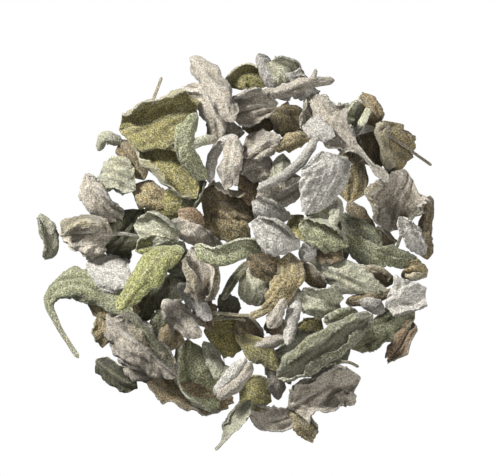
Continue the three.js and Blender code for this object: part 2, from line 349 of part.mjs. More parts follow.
  leaf('bright_half_roll', 'lime', [[-16.5, 0, 0], [-24, -2, 2], [-29.5, -8, 2], [-36.5, -18, 0]],
    [3, 7.2, 7.2, 2.4], { curl: [-60, -170] }),
  leaf('upper_olive_leaf', 'olive', [[-36.5, 36, 0], [-24.5, 39, 2.5], [-11, 45, 0]], [6, 13, 13.5, 10],
    { curl: [110, -45], fold: 5, wave: 0.6, torn: 2 }),
  leaf('left_thin_stalk', 'tan', [[-26.5, 43.5, 0], [-25, 47.5, 0.4], [-23.5, 52, 0]], [1.5, 1.4, 1.3],
    { joins: 'upper_olive_leaf' }),
  leaf('grey_green_strap', 'green', [[-13, 41, 0], [-16.5, 34, 1.5], [-15.5, 27.5, 1.5], [-10, 21, 0]],
    [3, 4.6, 4.6, 3], { curl: [-110, -110] }),
  leaf('short_stub', 'sage', [[-15.5, 31, 0], [-11, 32.5, 0.4], [-6.5, 33.5, 0]], [2, 2.6, 2],
    { curl: [-90, -90], joins: 'grey_green_strap' }),
];

const radians = (degrees) => degrees * Math.PI / 180;

// A smooth curve through evenly spaced values: each stretch is a cubic whose slope at a value
// is half the step between that value's neighbours.
function along(values, u) {
  const last = values.length - 1;
  const stretch = Math.min(Math.floor(u * last), last - 1);
  const t = u * last - stretch;
  const a = values[stretch];
  const b = values[stretch + 1];
  const before = stretch > 0 ? values[stretch - 1] : 2 * a - b;
  const after = stretch + 2 <= last ? values[stretch + 2] : 2 * b - a;
  const slopeA = (b - before) / 2;
  const slopeB = (after - a) / 2;
  const square = 3 * (b - a) - 2 * slopeA - slopeB;
  const cube = 2 * (a - b) + slopeA + slopeB;
  return a + slopeA * t + square * t ** 2 + cube * t ** 3;
}

const spineAt = (spine, u) => (
  new THREE.Vector3(...[0, 1, 2].map((axis) => along(spine.map((p) => p[axis]), u)))
);

// Turning of the section at distance v from the midrib, from 0 at the midrib to 1 at the margin.
function turning(fold, curl, flat, v) {
  return fold + curl * Math.max(0, (v - flat) / (1 - flat)) ** ROLL_TIGHTENING;
}

// A point of the section, for a half blade of length 1: the sum of short steps, each in its own direction.
function sectionPoint(fold, curl, flat, v) {
  let across = 0;
  let up = 0;
  for (let step = 0; step < SECTION_STEPS; step += 1) {
    const angle = turning(fold, curl, flat, v * (step + 0.5) / SECTION_STEPS);
    across += Math.cos(angle) * v / SECTION_STEPS;
    up += Math.sin(angle) * v / SECTION_STEPS;
  }
  return [across, up];
}

// Half the flat width of a leaf that looks 1 wide from above.
function flatShare({ curl = [0, 0], fold = 0, flat = 0 }) {
  let reach = [0, 0];
  for (let step = 1; step <= SECTION_STEPS; step += 1) {
    const v = step / SECTION_STEPS;
    const left = sectionPoint(radians(fold), radians(curl[0]), flat, v)[0];
    const right = -sectionPoint(radians(fold), radians(curl[1]), flat, v)[0];
    reach = [Math.min(reach[0], left, right), Math.max(reach[1], left, right)];
  }
  return 1 / (reach[1] - reach[0]);
}

function spineLength(spine) {
  let length = 0;
  for (let i = 1; i < spine.length; i += 1) {
    length += Math.hypot(spine[i][0] - spine[i - 1][0], spine[i][1] - spine[i - 1][1]);
  }
  return length;
}

// How far an end is cut back at v across it, as a share of the length: a pointed end, torn if it is ragged.
function cutBack(halfWidth, length, torn, v) {
  const point = END_TAPER * halfWidth * Math.abs(v) ** END_POWER;
  const rag = torn * (0.5 + 0.3 * Math.sin(5.1 * v + length) + 0.2 * Math.sin(11.3 * v + 2 * length));
  return Math.min((point + rag) / length, DEEPEST_CUT);
}

const nearEnd = (u) => Math.max(0, (u - 0.6) / 0.4) ** 1.5;

// The middle surface of a leaf at u along it and v across it, from -1 (right margin) to 1 (left margin),
// and its upward normal.
function middle({ spine, widths, form }, share, length, uWanted, v) {
  const { curl = [0, 0], fold = 0, roll = 0, twist = 0, wave = 0, pucker = 0, torn = 0, flat = 0 } = form;
  const u = uWanted + cutBack(widths[0] * share, length, 0, v) * nearEnd(1 - uWanted)
    - cutBack(widths.at(-1) * share, length, torn, v) * nearEnd(uWanted);
  const ahead = spineAt(spine, Math.min(1, u + 0.01));
  const behind = spineAt(spine, Math.max(0, u - 0.01));
  const forward = ahead.sub(behind).normalize();
  const level = new THREE.Vector3(-forward.y, forward.x, 0).normalize();
  const upright = forward.clone().cross(level);
  const bank = radians(roll + twist * (u - 0.5));
  const side = level.clone().multiplyScalar(Math.cos(bank)).addScaledVector(upright, Math.sin(bank));
  const up = upright.clone().multiplyScalar(Math.cos(bank)).addScaledVector(level, -Math.sin(bank));

  const hand = Math.sign(v);
  const waves = 2 * Math.PI * length / MARGIN_WAVE_LENGTH;
  const margin = 1 + MARGIN_WAVE * Math.sin(waves * u + 1.7 * hand + length);
  const half = Math.max(along(widths, u), 1.2) * share * (v === 0 ? 1 : margin);
  const wanted = radians(hand > 0 ? curl[0] : curl[1]);
  const tightest = half / SMALLEST_ROLL_RADIUS / ROLL_TIGHTENING;
  const bent = Math.sign(wanted) * Math.min(Math.abs(wanted), tightest);
  const distance = Math.abs(v);
  const [across, rise] = sectionPoint(radians(fold), bent, flat, distance);
  const angle = turning(radians(fold), bent, flat, distance);

  const ruffle = wave * distance ** 2 * Math.sin(2 * Math.PI * length / 11 * u + 2.3 * hand + length);
  const dent = pucker * Math.sin(9 * u + length) * Math.sin(4 * v + 2 * length);
  const upward = v === 0 ? 1 : Math.cos(angle);
  const normal = side.clone().multiplyScalar(-hand * Math.sin(angle)).addScaledVector(up, upward);
  const point = spineAt(spine, u).addScaledVector(side, hand * across * half);
  point.addScaledVector(up, rise * half);
  return { point: point.addScaledVector(normal, ruffle + dent), normal };
}

function thicknessAt(widths, u) {
  const width = Math.max(along(widths, u), STALK_WIDTH);
  const share = Math.min(1, (width - STALK_WIDTH) / (BLADE_WIDTH - STALK_WIDTH));
  return STALK_THICKNESS + (BLADE_THICKNESS - STALK_THICKNESS) * share;
}

// The closed solid of a leaf: rings of points, the upper face from left to right margin and the
// lower face back.
function leafSolid(entry) {
  const { spine, widths, form } = entry;
  const { curl = [0, 0] } = form;
  const length = spineLength(spine);
  const share = flatShare(form);
  const rings = Math.round(THREE.MathUtils.clamp(2.4 + length / 7.2, 4, 9));
  const turned = Math.abs(curl[0]) + Math.abs(curl[1]);
  const perFace = Math.round(THREE.MathUtils.clamp(3.2 + turned / 100, 4, 7));
  const points = [];
  for (let ring = 0; ring < rings; ring += 1) {
    const u = ring / (rings - 1);
    const thickness = thicknessAt(widths, u);
    const upper = [];
    const lower = [];
    for (let i = 0; i < perFace; i += 1) {
      const { point, normal } = middle(entry, share, length, u, 1 - 2 * i / (perFace - 1));
      upper.push(point.clone().addScaledVector(normal, thickness / 2));
      lower.unshift(point.clone().addScaledVector(normal, -thickness / 2));
    }
    points.push(...upper, ...lower);
  }
  const around = 2 * perFace;
  const triangles = [];
  for (let ring = 0; ring + 1 < rings; ring += 1) {
    for (let i = 0; i < around; i += 1) {
      const a = ring * around + i;
      const b = ring * around + (i + 1) % around;
      const c = a + around;
      const d = b + around;
      // the lower face is the mirror image of the upper one, so it is split along the other diagonal
      if (i < perFace) triangles.push([a, b, d], [a, d, c]);
      else triangles.push([a, b, c], [b, d, c]);
    }
  }
  const lastRing = (rings - 1) * around;
  for (let i = 0; i + 1 < perFace; i += 1) {
    const below = around - 1 - i;
    triangles.push([i, below, i + 1], [i + 1, below, below - 1]);
    triangles.push([lastRing + i, lastRing + i + 1, lastRing + below]);
    triangles.push([lastRing + i + 1, lastRing + below - 1, lastRing + below]);
  }
  return { points, triangles };
}

const cellOf = (x, y) => Math.floor((y + FIELD / 2) / CELL) * CELLS + Math.floor((x + FIELD / 2) / CELL);
const cellX = (cell) => (cell % CELLS + 0.5) * CELL - FIELD / 2;
const cellY = (cell) => (Math.floor(cell / CELLS) + 0.5) * CELL - FIELD / 2;

// Lowest and highest height of a solid over each cell of the ground that it covers.
function footprint({ points, triangles }) {
  const cells = new Map();
  for (const corners of triangles) {
    const [a, b, c] = corners.map((corner) => points[corner]);
    const longest = Math.max(a.distanceTo(b), b.distanceTo(c), c.distanceTo(a));
    const steps = Math.ceil(longest / CELL / 0.6);
    for (let i = 0; i <= steps; i += 1) {
      for (let j = 0; i + j <= steps; j += 1) {
        const p = a.clone().multiplyScalar((steps - i - j) / steps);
        p.addScaledVector(b, i / steps).addScaledVector(c, j / steps);
        const cell = cellOf(p.x, p.y);
        const seen = cells.get(cell);
        if (seen) cells.set(cell, [Math.min(seen[0], p.z), Math.max(seen[1], p.z)]);
        else cells.set(cell, [p.z, p.z]);
      }
    }
  }
  return cells;
}

// Top of the heap over a cell and its neighbours, leaving out the leaf that is clung to.
function topOfHeap(heap, cell, host) {
  let top = 0;
  for (const row of [-CELLS, 0, CELLS]) {
    for (const column of [-1, 0, 1]) {
      for (const [owner, height] of heap[cell + row + column] ?? []) {
        if (owner !== host) top = Math.max(top, height + AIR_GAP);
      }
    }
  }
  return top;
}

// Number of separate closed surfaces of a body. Leaves that are joined, with no sealed pocket
// between them, have one.
function surfacesOf(body) {
  const { numVert, triVerts } = body.getMesh();
  const leader = Array.from({ length: numVert }, (_, vertex) => vertex);
  const find = (vertex) => {
    let top = vertex;
    while (leader[top] !== top) top = leader[top];
    leader[vertex] = top;
    return top;
  };
  let surfaces = numVert;
  for (let i = 0; i < triVerts.length; i += 3) {
    for (const other of [triVerts[i + 1], triVerts[i + 2]]) {
      const [a, b] = [find(triVerts[i]), find(other)];
      if (a !== b) {
        leader[b] = a;
        surfaces -= 1;
      }
    }
  }
  return surfaces;
}

// Lets a leaf down onto the heap. It may tilt, which raises each point by a share of its x and of its y,
// so its place seen from above doesn't change. The lowest lie wins, and a steep one costs a little.
function settle(solid, form, heap, host) {
  const cells = [...footprint(solid)].map(([cell, [low]]) => {
    const held = (heap[cell] ?? []).find(([owner]) => owner === form.joins);
    const top = Math.max(topOfHeap(heap, cell, form.joins), held ? held[1] - CLING_DEPTH : 0);
    return { x: cellX(cell), y: cellY(cell), low, top, held: held?.[1] };
  });
  const middleX = cells.reduce((sum, cell) => sum + cell.x, 0) / cells.length;
  const middleY = cells.reduce((sum, cell) => sum + cell.y, 0) / cells.length;
  const steepest = form.joins ? STEEPEST_CLINGING_TILT : STEEPEST_TILT;
  const tilts = [];
  for (let tilt = -steepest; tilt < steepest + TILT_STEP / 2; tilt += TILT_STEP) tilts.push(tilt);
  const lies = [];
  for (const alongX of form.level ? [0] : tilts) {
    for (const alongY of form.level ? [0] : tilts) {
      const rise = (p) => alongX * (p.x - middleX) + alongY * (p.y - middleY);
      let lift = Math.max(...solid.points.map((p) => -(p.z + rise(p))));
      for (const cell of cells) lift = Math.max(lift, cell.top - cell.low - rise(cell));
      const bites = cells.map((cell) => (cell.held ?? -Infinity) - cell.low - rise(cell) - lift);
      const bite = Math.max(...bites);
      const cost = lift + TILT_COST * (alongX ** 2 + alongY ** 2);
      if (!form.joins || bite > LEAST_CLING) lies.push({ cost, lift, rise });
    }
  }
  lies.sort((a, b) => a.cost - b.cost);
  for (const { lift, rise } of lies) {
    const points = solid.points.map((p) => p.clone().setZ(p.z + rise(p) + lift));
    const alone = toManifold({ points, triangles: solid.triangles });
    const body = host ? host.add(alone) : alone;
    if (!host || surfacesOf(body) === 1) return { solid: { points, triangles: solid.triangles }, body };
  }
  throw new Error(`${form.joins} is out of reach of the leaf that clings to it`);
}

function toManifold({ points, triangles }) {
  const vertProperties = new Float32Array(points.flatMap((p) => [p.x, p.y, p.z]));
  const triVerts = new Uint32Array(triangles.flat());
  return new wasm.Manifold(new wasm.Mesh({ numProp: 3, vertProperties, triVerts }));
}

function toGeometry(manifold) {
  const { vertProperties, triVerts } = manifold.getMesh();
  const geometry = new THREE.BufferGeometry();
  geometry.setAttribute('position', new THREE.BufferAttribute(vertProperties, 3));
  geometry.setIndex(new THREE.BufferAttribute(triVerts, 1));
  return geometry;
}

const heap = [];
const roots = new Map();
const nodes = new Map();
for (const entry of LEAVES) {
  const root = entry.form.joins ? roots.get(entry.form.joins) : entry.name;
  const known = nodes.get(root);
  const { solid, body } = settle(leafSolid(entry), entry.form, heap, known?.body);
  for (const [cell, [, high]] of footprint(solid)) {
    heap[cell] ??= [];
    heap[cell].push([entry.name, high]);
  }
  roots.set(entry.name, root);
  nodes.set(root, { tint: known?.tint ?? entry.tint, body });
}

const bunch = new THREE.Group();
for (const [name, { tint, body }] of nodes) {
  const material = new THREE.MeshStandardMaterial({ color: TINTS[tint], roughness: 0.95, metalness: 0 });
  const mesh = new THREE.Mesh(toGeometry(body), material);
  mesh.name = name;
  bunch.add(mesh);
}

// The origin is under the middle of the heap, on the surface that it lies on.
const box = new THREE.Box3().setFromObject(bunch);
const centre = box.getCenter(new THREE.Vector3());
for (const mesh of bunch.children) mesh.position.set(-centre.x, -centre.y, -box.min.z);

export default bunch;
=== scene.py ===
# %% [markdown]
# # A bunch of dried sage leaves
# The object is a loose, round heap of whole and broken sage leaves, dried until they curled. The packed
# model gives one faceted solid for each leaf, or for a few leaves that cling together. This lesson keeps
# the place and the curl of each one and gives it the fine surface of a dried leaf: rounded margins with
# small teeth, a midrib, side veins, a pebbled upper side and a pale felted underside.

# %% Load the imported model
import math

import bpy
import numpy as np
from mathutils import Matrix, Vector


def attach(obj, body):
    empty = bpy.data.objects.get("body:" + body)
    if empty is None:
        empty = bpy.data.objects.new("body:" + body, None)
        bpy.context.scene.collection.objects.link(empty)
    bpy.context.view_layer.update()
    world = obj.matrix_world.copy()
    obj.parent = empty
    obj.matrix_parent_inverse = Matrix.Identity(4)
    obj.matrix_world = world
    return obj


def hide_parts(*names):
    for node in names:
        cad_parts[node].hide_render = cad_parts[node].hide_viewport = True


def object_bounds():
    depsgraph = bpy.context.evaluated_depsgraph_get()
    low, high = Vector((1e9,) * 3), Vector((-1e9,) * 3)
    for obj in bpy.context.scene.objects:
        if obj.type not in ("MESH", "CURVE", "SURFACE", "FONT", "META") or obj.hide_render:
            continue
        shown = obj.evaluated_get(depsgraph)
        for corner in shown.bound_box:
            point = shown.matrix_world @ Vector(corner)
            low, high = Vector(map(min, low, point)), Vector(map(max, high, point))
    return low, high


MM = 0.001
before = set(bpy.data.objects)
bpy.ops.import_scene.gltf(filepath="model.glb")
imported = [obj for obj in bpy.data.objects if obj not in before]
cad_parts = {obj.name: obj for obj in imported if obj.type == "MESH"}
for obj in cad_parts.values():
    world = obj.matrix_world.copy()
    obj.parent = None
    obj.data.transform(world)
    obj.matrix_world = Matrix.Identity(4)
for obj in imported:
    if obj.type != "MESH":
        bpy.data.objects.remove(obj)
CAD_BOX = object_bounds()
print("leaf solids:", len(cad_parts), "in a box of", CAD_BOX)

# %% [markdown]
# ## The leaves
# Each leaf is described as a picker would describe it: where its stalk end and tip lie, how wide it looks
# from above, and how it dried. A random scatter would be shorter to write, but a heap looks like this one
# only if every leaf keeps its own place. So the list gives the leaves one by one, in millimetres, from the
# bottom of the heap to its top. The heights are for a leaf lying alone. How high it lies in the heap comes
# from the imported model.

# %% The list of leaves
# Dried leaves spring up along their length: the heights in the list are for a leaf half flattened.
SPRING = 1.7
# The widths in the list are read between the rims of a leaf, and its margins reach a little beyond them.
RIM_ALLOWANCE = 1.13
STALK_WIDTH = 1.6
FLAT_LEAF = {"curl": (0, 0), "fold": 0, "roll": 0, "twist": 0, "wave": 0, "pucker": 0, "torn": 0, "flat": 0,
             "joins": None, "tone": 0}


def leaf(name, tint, spine, widths, **form):
    """One leaf: tint, spine points (x, y and any height) from base to tip, widths from above, and its form.

    curl: left and right margin in degrees, above 0 rolled up and over, below 0 rolled under.
    fold: lift of both halves along the midrib. roll: bank of the leaf. twist: change of bank along it.
    wave: height of the ruffles at the margins. pucker: height of the dents. torn: depth of the ragged tip.
    flat: share of each half beside the midrib that stays flat. joins: the leaf that this one clings to.
    tone: how much brighter (above 0) or darker it is than its neighbours, added to the painted shade of its
    depth in the heap.
    """
    return {
        "name": name,
        "tint": tint,
        "spine": np.array([(*point, 0)[:3] for point in spine], dtype=float) * (1, 1, SPRING),
        "widths": np.array([w * RIM_ALLOWANCE if w > STALK_WIDTH else w for w in widths]),
        **FLAT_LEAF,
        **form,
    }


LEAVES = [
    leaf("charcoal_leaf", "dark", [(-14, -8), (-20.5, -12.5), (-27, -18)], [4, 7, 7, 4], curl=(70, 60),
         flat=0.5),
    leaf("charcoal_strip", "dark", [(-22.5, -7.5), (-27.5, -14.5, 1), (-30.5, -22.5)], [3, 6, 4],
         curl=(-70, -80), wave=0.4, joins="charcoal_leaf"),
    leaf("dark_middle_leaf", "dark", [(-23, 3), (-20, -2.5, 1), (-14.5, -8)], [5, 8, 5], curl=(60, -70),
         wave=0.5, joins="charcoal_leaf"),
    leaf("low_olive_leaf", "olive", [(16, -30.5), (20, -26), (24.5, -20.5)], [5, 8, 8, 5], curl=(50, 70),
         flat=0.5, tone=0.3),
    leaf("brown_under_roll", "brown", [(8.5, -19.5), (12.5, -24, 0.8), (19.5, -29)], [3.6, 6, 4.6],
         curl=(110, -60), wave=0.4, joins="low_olive_leaf"),
    leaf("broad_sage_leaf", "sage", [(25, -25.5), (17, -31, 1), (7.5, -37.5)], [4, 10, 10, 4],
         curl=(-40, 120), wave=0.5, joins="low_olive_leaf"),
    leaf("low_tan_leaf", "tan", [(30.5, 30), (33.5, 22.5), (33, 14)], [5, 8.8, 9, 5], curl=(60, 45),
         flat=0.5),
    leaf("ring_shadow_leaf", "brown", [(38, 37), (40, 31, 1), (42.5, 24.5)], [3.5, 7.4, 4], curl=(-60, 60),
         wave=0.5, joins="low_tan_leaf"),
    leaf("dark_curled_bit", "brown", [(33, 36), (34.5, 31, 1), (34.5, 25.5)], [2.6, 4.8, 3.2],
         curl=(90, -60), wave=0.4, joins="low_tan_leaf"),
    leaf("brown_crumple", "brown", [(0.5, 36.5), (5.5, 38, 1), (11, 37.5)], [4, 6.5, 6, 4], curl=(150, -60),
         wave=0.6, pucker=0.5),
    leaf("grey_shoulder", "grey", [(-8, 37.5), (-3.6, 35.7, 1), (1.5, 35.5)], [3.4, 5.4, 4],
         curl=(-60, -80), wave=0.5, joins="brown_crumple"),
    leaf("tan_olive_leaf", "tan", [(9, 42), (14, 38.5, 1.5), (18.5, 33.5)], [5, 9, 8.5, 4], curl=(-40, -70),
         roll=12, wave=0.5, joins="brown_crumple"),
    leaf("left_flat_leaf", "dark", [(-40, -2), (-34.5, 4.5, 1), (-29, 12.5, 0.5)], [4, 10.5, 10.5, 5],
         curl=(-30, 40), roll=-8, wave=0.6),
    leaf("low_green_leaf", "dark", [(-43.5, -33), (-38, -37.5, 1), (-31, -42)], [2.5, 6, 6.5, 3],
         curl=(50, -60), wave=0.4),
    leaf("grey_pink_fold", "grey", [(-37, -32), (-27, -36.5, 2), (-15, -41.5)], [3, 5.5, 6, 3],
         curl=(-150, -60), wave=0.4, joins="low_green_leaf"),
    leaf("flat_olive_leaf", "green", [(53, -18.5), (43.5, -23.5, 1.5), (32.5, -29.5)], [3, 8, 7.5, 4],
         curl=(35, -50), wave=0.5),
    leaf("dark_under_leaf", "dark", [(20, -37.5), (26.5, -33.5, 1), (33.5, -29)], [3, 5.4, 4],
         curl=(60, -70), wave=0.5, joins="flat_olive_leaf"),
    leaf("thin_lower_twig", "tan", [(28, -34), (32.5, -33.9, 0.4), (36, -35.4)], [1.5, 1.4, 1.4],
         joins="dark_under_leaf"),
    leaf("ragged_russet_leaf", "russet", [(52, -21), (49, -27.5, 1.5), (44, -34.5)], [3, 4.8, 4.2, 2],
         curl=(80, -90), wave=0.5, torn=2, joins="flat_olive_leaf"),
    leaf("dark_green_leaf", "olive", [(-0.5, -41), (4.5, -43.5, 1), (9.5, -46)], [5, 9, 8, 4],
         curl=(60, 40), wave=0.7),
    leaf("netted_grey_boat", "grey", [(2, -48, 0.5), (10, -51, -0.5), (18.5, -49.5, 1)], [3, 6.8, 6.5, 2.5],
         curl=(95, 80), wave=0.4, joins="dark_green_leaf", tone=0.6),
    leaf("bottom_fragment", "tan", [(15, -48.5), (19.5, -53, 0.8), (22.5, -58.5)], [4, 5, 4],
         curl=(60, -70), wave=0.4, torn=1.2, joins="netted_grey_boat"),
    leaf("stalked_bit", "sage", [(-7.5, -60.5), (-5, -57.5, 0.4), (-2.6, -53, 0.8), (3.6, -45, 1)],
         [1.1, 1.2, 2.6, 4.6, 4], curl=(70, 70), joins="dark_green_leaf"),
    leaf("curled_grey_end", "grey", [(8.5, -36.6), (10.8, -40.4, 1), (11.6, -45.4)], [2.2, 3.8, 2.6],
         curl=(-100, -100), joins="dark_green_leaf"),
    leaf("creamy_edged_leaf", "olive", [(-11, -24.5), (-3.5, -24.5, 1.5), (4.5, -27)], [6, 11, 10.5, 5],
         curl=(130, -30), wave=0.6, pucker=0.4, tone=0.6),
    leaf("dark_lower_bit", "brown", [(-12.5, -14.5), (-10.4, -19, 0.8), (-9, -24)], [3.5, 6, 4],
         curl=(-50, 80), joins="creamy_edged_leaf"),
    leaf("dark_olive_pad", "dark", [(-6.2, -13.4), (-3.6, -16.6, 0.8), (-1.8, -21)], [3.4, 6, 4.6],
         curl=(-50, -60), joins="creamy_edged_leaf"),
    leaf("dark_fold", "brown", [(-1, -20), (2.6, -24, 1), (7, -29)], [4, 6.4, 3.6], curl=(110, -60),
         joins="creamy_edged_leaf"),
    leaf("ragged_olive_leaf", "olive", [(-1.5, -24.8), (5.4, -30, 1), (12.5, -36.5)], [3, 6, 5.4, 2.4],
         curl=(-50, -40), wave=0.6, torn=1.5, joins="dark_fold"),
    leaf("grey_cross_strip", "grey", [(3, -29.2), (9.6, -27.4, 0.6), (16.2, -25.2)], [2.4, 2.8, 2],
         curl=(-80, -80), joins="ragged_olive_leaf"),
    leaf("brown_fan_leaf", "brown", [(-28, -40), (-16.5, -43.8, 1), (-1, -46.4)], [3, 6.4, 7.5, 5],
         curl=(-50, 60), wave=0.6, torn=1.5),
    leaf("pebbled_green_leaf", "green", [(-16, -27, 0.5), (-14.5, -38, 2.5), (-7, -49)], [4, 10.5, 10.5, 3],
         curl=(-60, 150), wave=0.6, joins="brown_fan_leaf", tone=0.8),
    leaf("pale_hook", "sage", [(-11, -27.5), (-8, -33, 0.5), (-5.5, -37), (-2.5, -35.5, 0.5)],
         [2.5, 3.4, 3.2, 2.4], curl=(-120, -120), joins="creamy_edged_leaf"),
    leaf("dark_brown_leaf", "brown", [(-12.5, 17), (-3.5, 13.8, 1.5), (6, 11)], [8, 11.5, 11, 6],
         curl=(140, -60), wave=0.8, pucker=0.5),
    leaf("pink_brown_strip", "russet", [(-1, 23), (2.6, 18.2, 0.8), (7, 12.6)], [2.6, 4.6, 3],
         curl=(-70, -70), joins="dark_brown_leaf"),
    leaf("light_brown_leaf", "tan", [(-11.5, 10), (-4.5, 7, 1), (3.5, 2.5)], [4, 8.6, 8, 5], curl=(-60, 60),
         wave=0.5, joins="dark_brown_leaf"),
    leaf("ribbed_dark_leaf", "olive", [(-29, 11.5), (-20.5, 14, 1), (-11, 16)], [4, 7.4, 6.4, 4],
         curl=(-70, -60), fold=-8, wave=0.4),
    leaf("grey_brown_strip", "tan", [(-33, 19), (-27.5, 16.5, 1), (-22, 13.5)], [3, 7, 6.4, 3],
         curl=(-90, -90), joins="ribbed_dark_leaf"),
    leaf("pale_edged_fold", "green", [(-11.5, 22), (-14, 17, 1.5), (-17.5, 11.5)], [3, 6.2, 6, 3],
         curl=(120, -40), fold=10, joins="ribbed_dark_leaf"),
    leaf("brown_grey_leaf", "brown", [(-36.5, 33.5), (-32.5, 28.5, 1), (-29, 21)], [3, 5.8, 5.6, 3],
         curl=(-80, -60), wave=0.4),
    leaf("little_arch", "sage", [(-43, 30), (-40.5, 34, 2), (-35.5, 32, 1)], [1.8, 2.8, 2.4],
         curl=(-90, -90), joins="brown_grey_leaf"),
    leaf("lower_olive_leaf", "olive", [(-32.5, 34), (-22.5, 25.5, 2), (-13, 15.5)], [3, 10.5, 10.5, 3],
         curl=(-50, 150), wave=0.5, joins="brown_grey_leaf", tone=0.3),
    leaf("grey_tan_leaf", "tan", [(-47, -15), (-39, -17.5, 1), (-30, -18.5)], [4, 7.4, 7.2, 5],
         curl=(30, -60), wave=0.4),
    leaf("olive_tan_bit", "tan", [(-42.8, -19.5), (-41.4, -25, 0.8), (-42, -29.8)], [3, 4.8, 3],
         curl=(-60, 60), wave=0.5, torn=1, joins="grey_tan_leaf"),
    leaf("grey_left_bit", "grey", [(-39.6, -18.6), (-37.2, -24.6, 1), (-35, -30.5)], [3, 5.6, 3.6],
         curl=(-80, -60), wave=0.5, joins="grey_tan_leaf"),
    leaf("short_grey_bit", "sage", [(-43, -10.5), (-40, -13.5, 0.8), (-38, -16.5)], [2.4, 3.8, 3],
         curl=(-80, -80), joins="grey_tan_leaf"),
    leaf("grey_green_bit", "green", [(-22, -17.5), (-24, -22, 0.8), (-25.5, -28)], [3.4, 6, 3.4],
         curl=(-60, -90)),
    leaf("brown_bit", "brown", [(-18, -20.5), (-20.5, -25.5, 1), (-22.5, -31)], [3.4, 6.4, 3.6],
         curl=(-70, -70), joins="grey_green_bit"),
    leaf("stray_roll", "sage", [(-59, -3), (-57.8, 1, 0.5), (-59, 6, 1), (-60.5, 11)], [2, 4.2, 4.2, 2.4],
         curl=(190, -50), roll=10),
    leaf("pale_sage_leaf", "sage", [(-43.5, 20.5), (-37.5, 21.5, 1.2), (-31.5, 18)], [5, 8.8, 7.5, 4],
         curl=(-60, 130), wave=0.4),
    leaf("pointed_fold", "grey", [(-46.5, 23), (-42, 16, 2), (-35.5, 9)], [1.8, 6.6, 6.8, 3],
         curl=(110, -40), fold=14, wave=0.4, joins="left_flat_leaf", tone=0.4),
    leaf("grey_pink_roll", "grey", [(-0.5, 23.5), (5, 25, 1.2), (10.5, 25.5)], [5, 7.4, 7, 4],
         curl=(-120, -130), wave=0.3),
    leaf("top_olive_fold", "olive", [(-4, 49.5), (1.5, 53.5, 1.5), (9, 50)], [3, 6.2, 6.2, 3],
         curl=(110, -30), fold=8, wave=0.4),
    leaf("top_light_roll", "lilac", [(5.5, 59), (9.5, 52, 1.5), (15, 45)], [2.6, 4.2, 4.4, 3],
         curl=(-150, -150)),
    leaf("top_green_crumple", "sage", [(8.5, 56), (13.5, 53.5, 1.5), (18, 49)], [3.6, 6.4, 5.8, 3.2],
         curl=(100, -80), wave=0.7, pucker=0.5, joins="top_light_roll"),
    leaf("top_grey_crumple", "lilac", [(14, 53), (19, 48.8, 1.2), (24, 44.6)], [3, 5.6, 3.6],
         curl=(90, -90), wave=0.8, pucker=0.5, torn=1, joins="top_green_crumple"),
    leaf("narrow_grey_roll", "grey", [(6, 46.5), (13.5, 47.5, 1), (20, 50, 1.5), (28.5, 51)],
         [2.2, 3, 2.6, 1.6], curl=(-130, -130)),
    leaf("top_stub", "grey", [(21, 49.4), (22, 51.8, 0.6), (22.8, 54.4, 0.6)], [1.8, 2, 1.6],
         joins="narrow_grey_roll"),
    leaf("grey_brown_boat", "grey", [(-4, 42), (3, 43.5, 1.5), (11.5, 44)], [3.4, 8.4, 7.6, 2.6],
         curl=(95, 60), roll=10, wave=0.5),
    leaf("brown_boat", "brown", [(41, 36), (39.5, 42, 1), (36.5, 48)], [2.6, 5.2, 4.6, 2.2], curl=(90, -60),
         torn=1.2),
    leaf("pale_v_fold", "sage", [(31.5, 34.5), (34.5, 39.5, 1.5), (37.5, 44)], [2.4, 5.6, 5, 2.4],
         curl=(40, 40), fold=42, joins="brown_boat"),
    leaf("right_stub", "lilac", [(33.5, 35.6), (37, 36.2, 0.6), (41, 36.4)], [1.8, 2.4, 1.6],
         curl=(-60, -60), joins="pale_v_fold"),
    leaf("green_disc", "green", [(27, 41.5), (30.5, 40.5, 0.6), (34.5, 39)], [3.6, 6.2, 4], curl=(-50, -50),
         joins="pale_v_fold"),
    leaf("ringed_tan_leaf", "tan", [(42.5, 39), (44.6, 31.5, 1.5), (46.5, 22)], [2.4, 9, 8.6, 4],
         curl=(-40, 250), wave=0.3),
    leaf("thin_right_stalk", "russet", [(43.5, 35), (50.5, 30.5, 0.4), (58, 25.5)], [1.5, 1.3, 1.3],
         joins="ringed_tan_leaf"),
    leaf("right_brown_roll", "brown", [(32.5, 14.5), (37, 9, 1), (42.5, 2.5)], [2.6, 3.8, 3.8, 2.6],
         curl=(-150, -120)),
    leaf("right_brown_crumple", "brown", [(39.5, 5.5), (43, 3.5, 1), (46.5, 0)], [3.2, 6, 4],
         curl=(120, -60), wave=0.6, joins="right_brown_roll"),
    leaf("toothed_green_leaf", "green", [(28, 7.5), (35.5, 6, 1.2), (43, 1)], [3.6, 6.4, 6, 3],
         curl=(-60, -60), wave=0.6, pucker=0.3),
    leaf("dark_stalk", "dark", [(33.5, 5.5), (32, 1, 0.6), (30.5, -4)], [2, 2.6, 2], curl=(-90, -90),
         joins="toothed_green_leaf"),
    leaf("green_half_leaf", "green", [(30, 4), (37.5, -0.6, 1), (44, -5)], [3, 6.8, 4], curl=(-70, -60),
         wave=0.4),
    leaf("grey_green_strip", "green", [(40.5, 0), (48, -2.5, 1), (55, -4)], [3, 4.8, 3.6], curl=(-80, -60),
         wave=0.4, joins="green_half_leaf"),
    leaf("curled_loop", "tan", [(57, -6), (53, -7, 0.8), (48.5, -8)], [3.4, 5.8, 5.2], curl=(230, -60),
         joins="grey_green_strip"),
    leaf("dark_right_roll", "brown", [(57.5, 16.5), (56.7, 10, 1), (55.5, 3, 1.2), (56.5, -3)],
         [2.4, 3.2, 3.2, 3.8, 3], curl=(-130, -130)),
    leaf("warm_grey_cup", "grey", [(49.5, 24.5, 1), (46, 13.5), (44.5, 4.5, 1.5)], [13, 15.5, 13, 4],
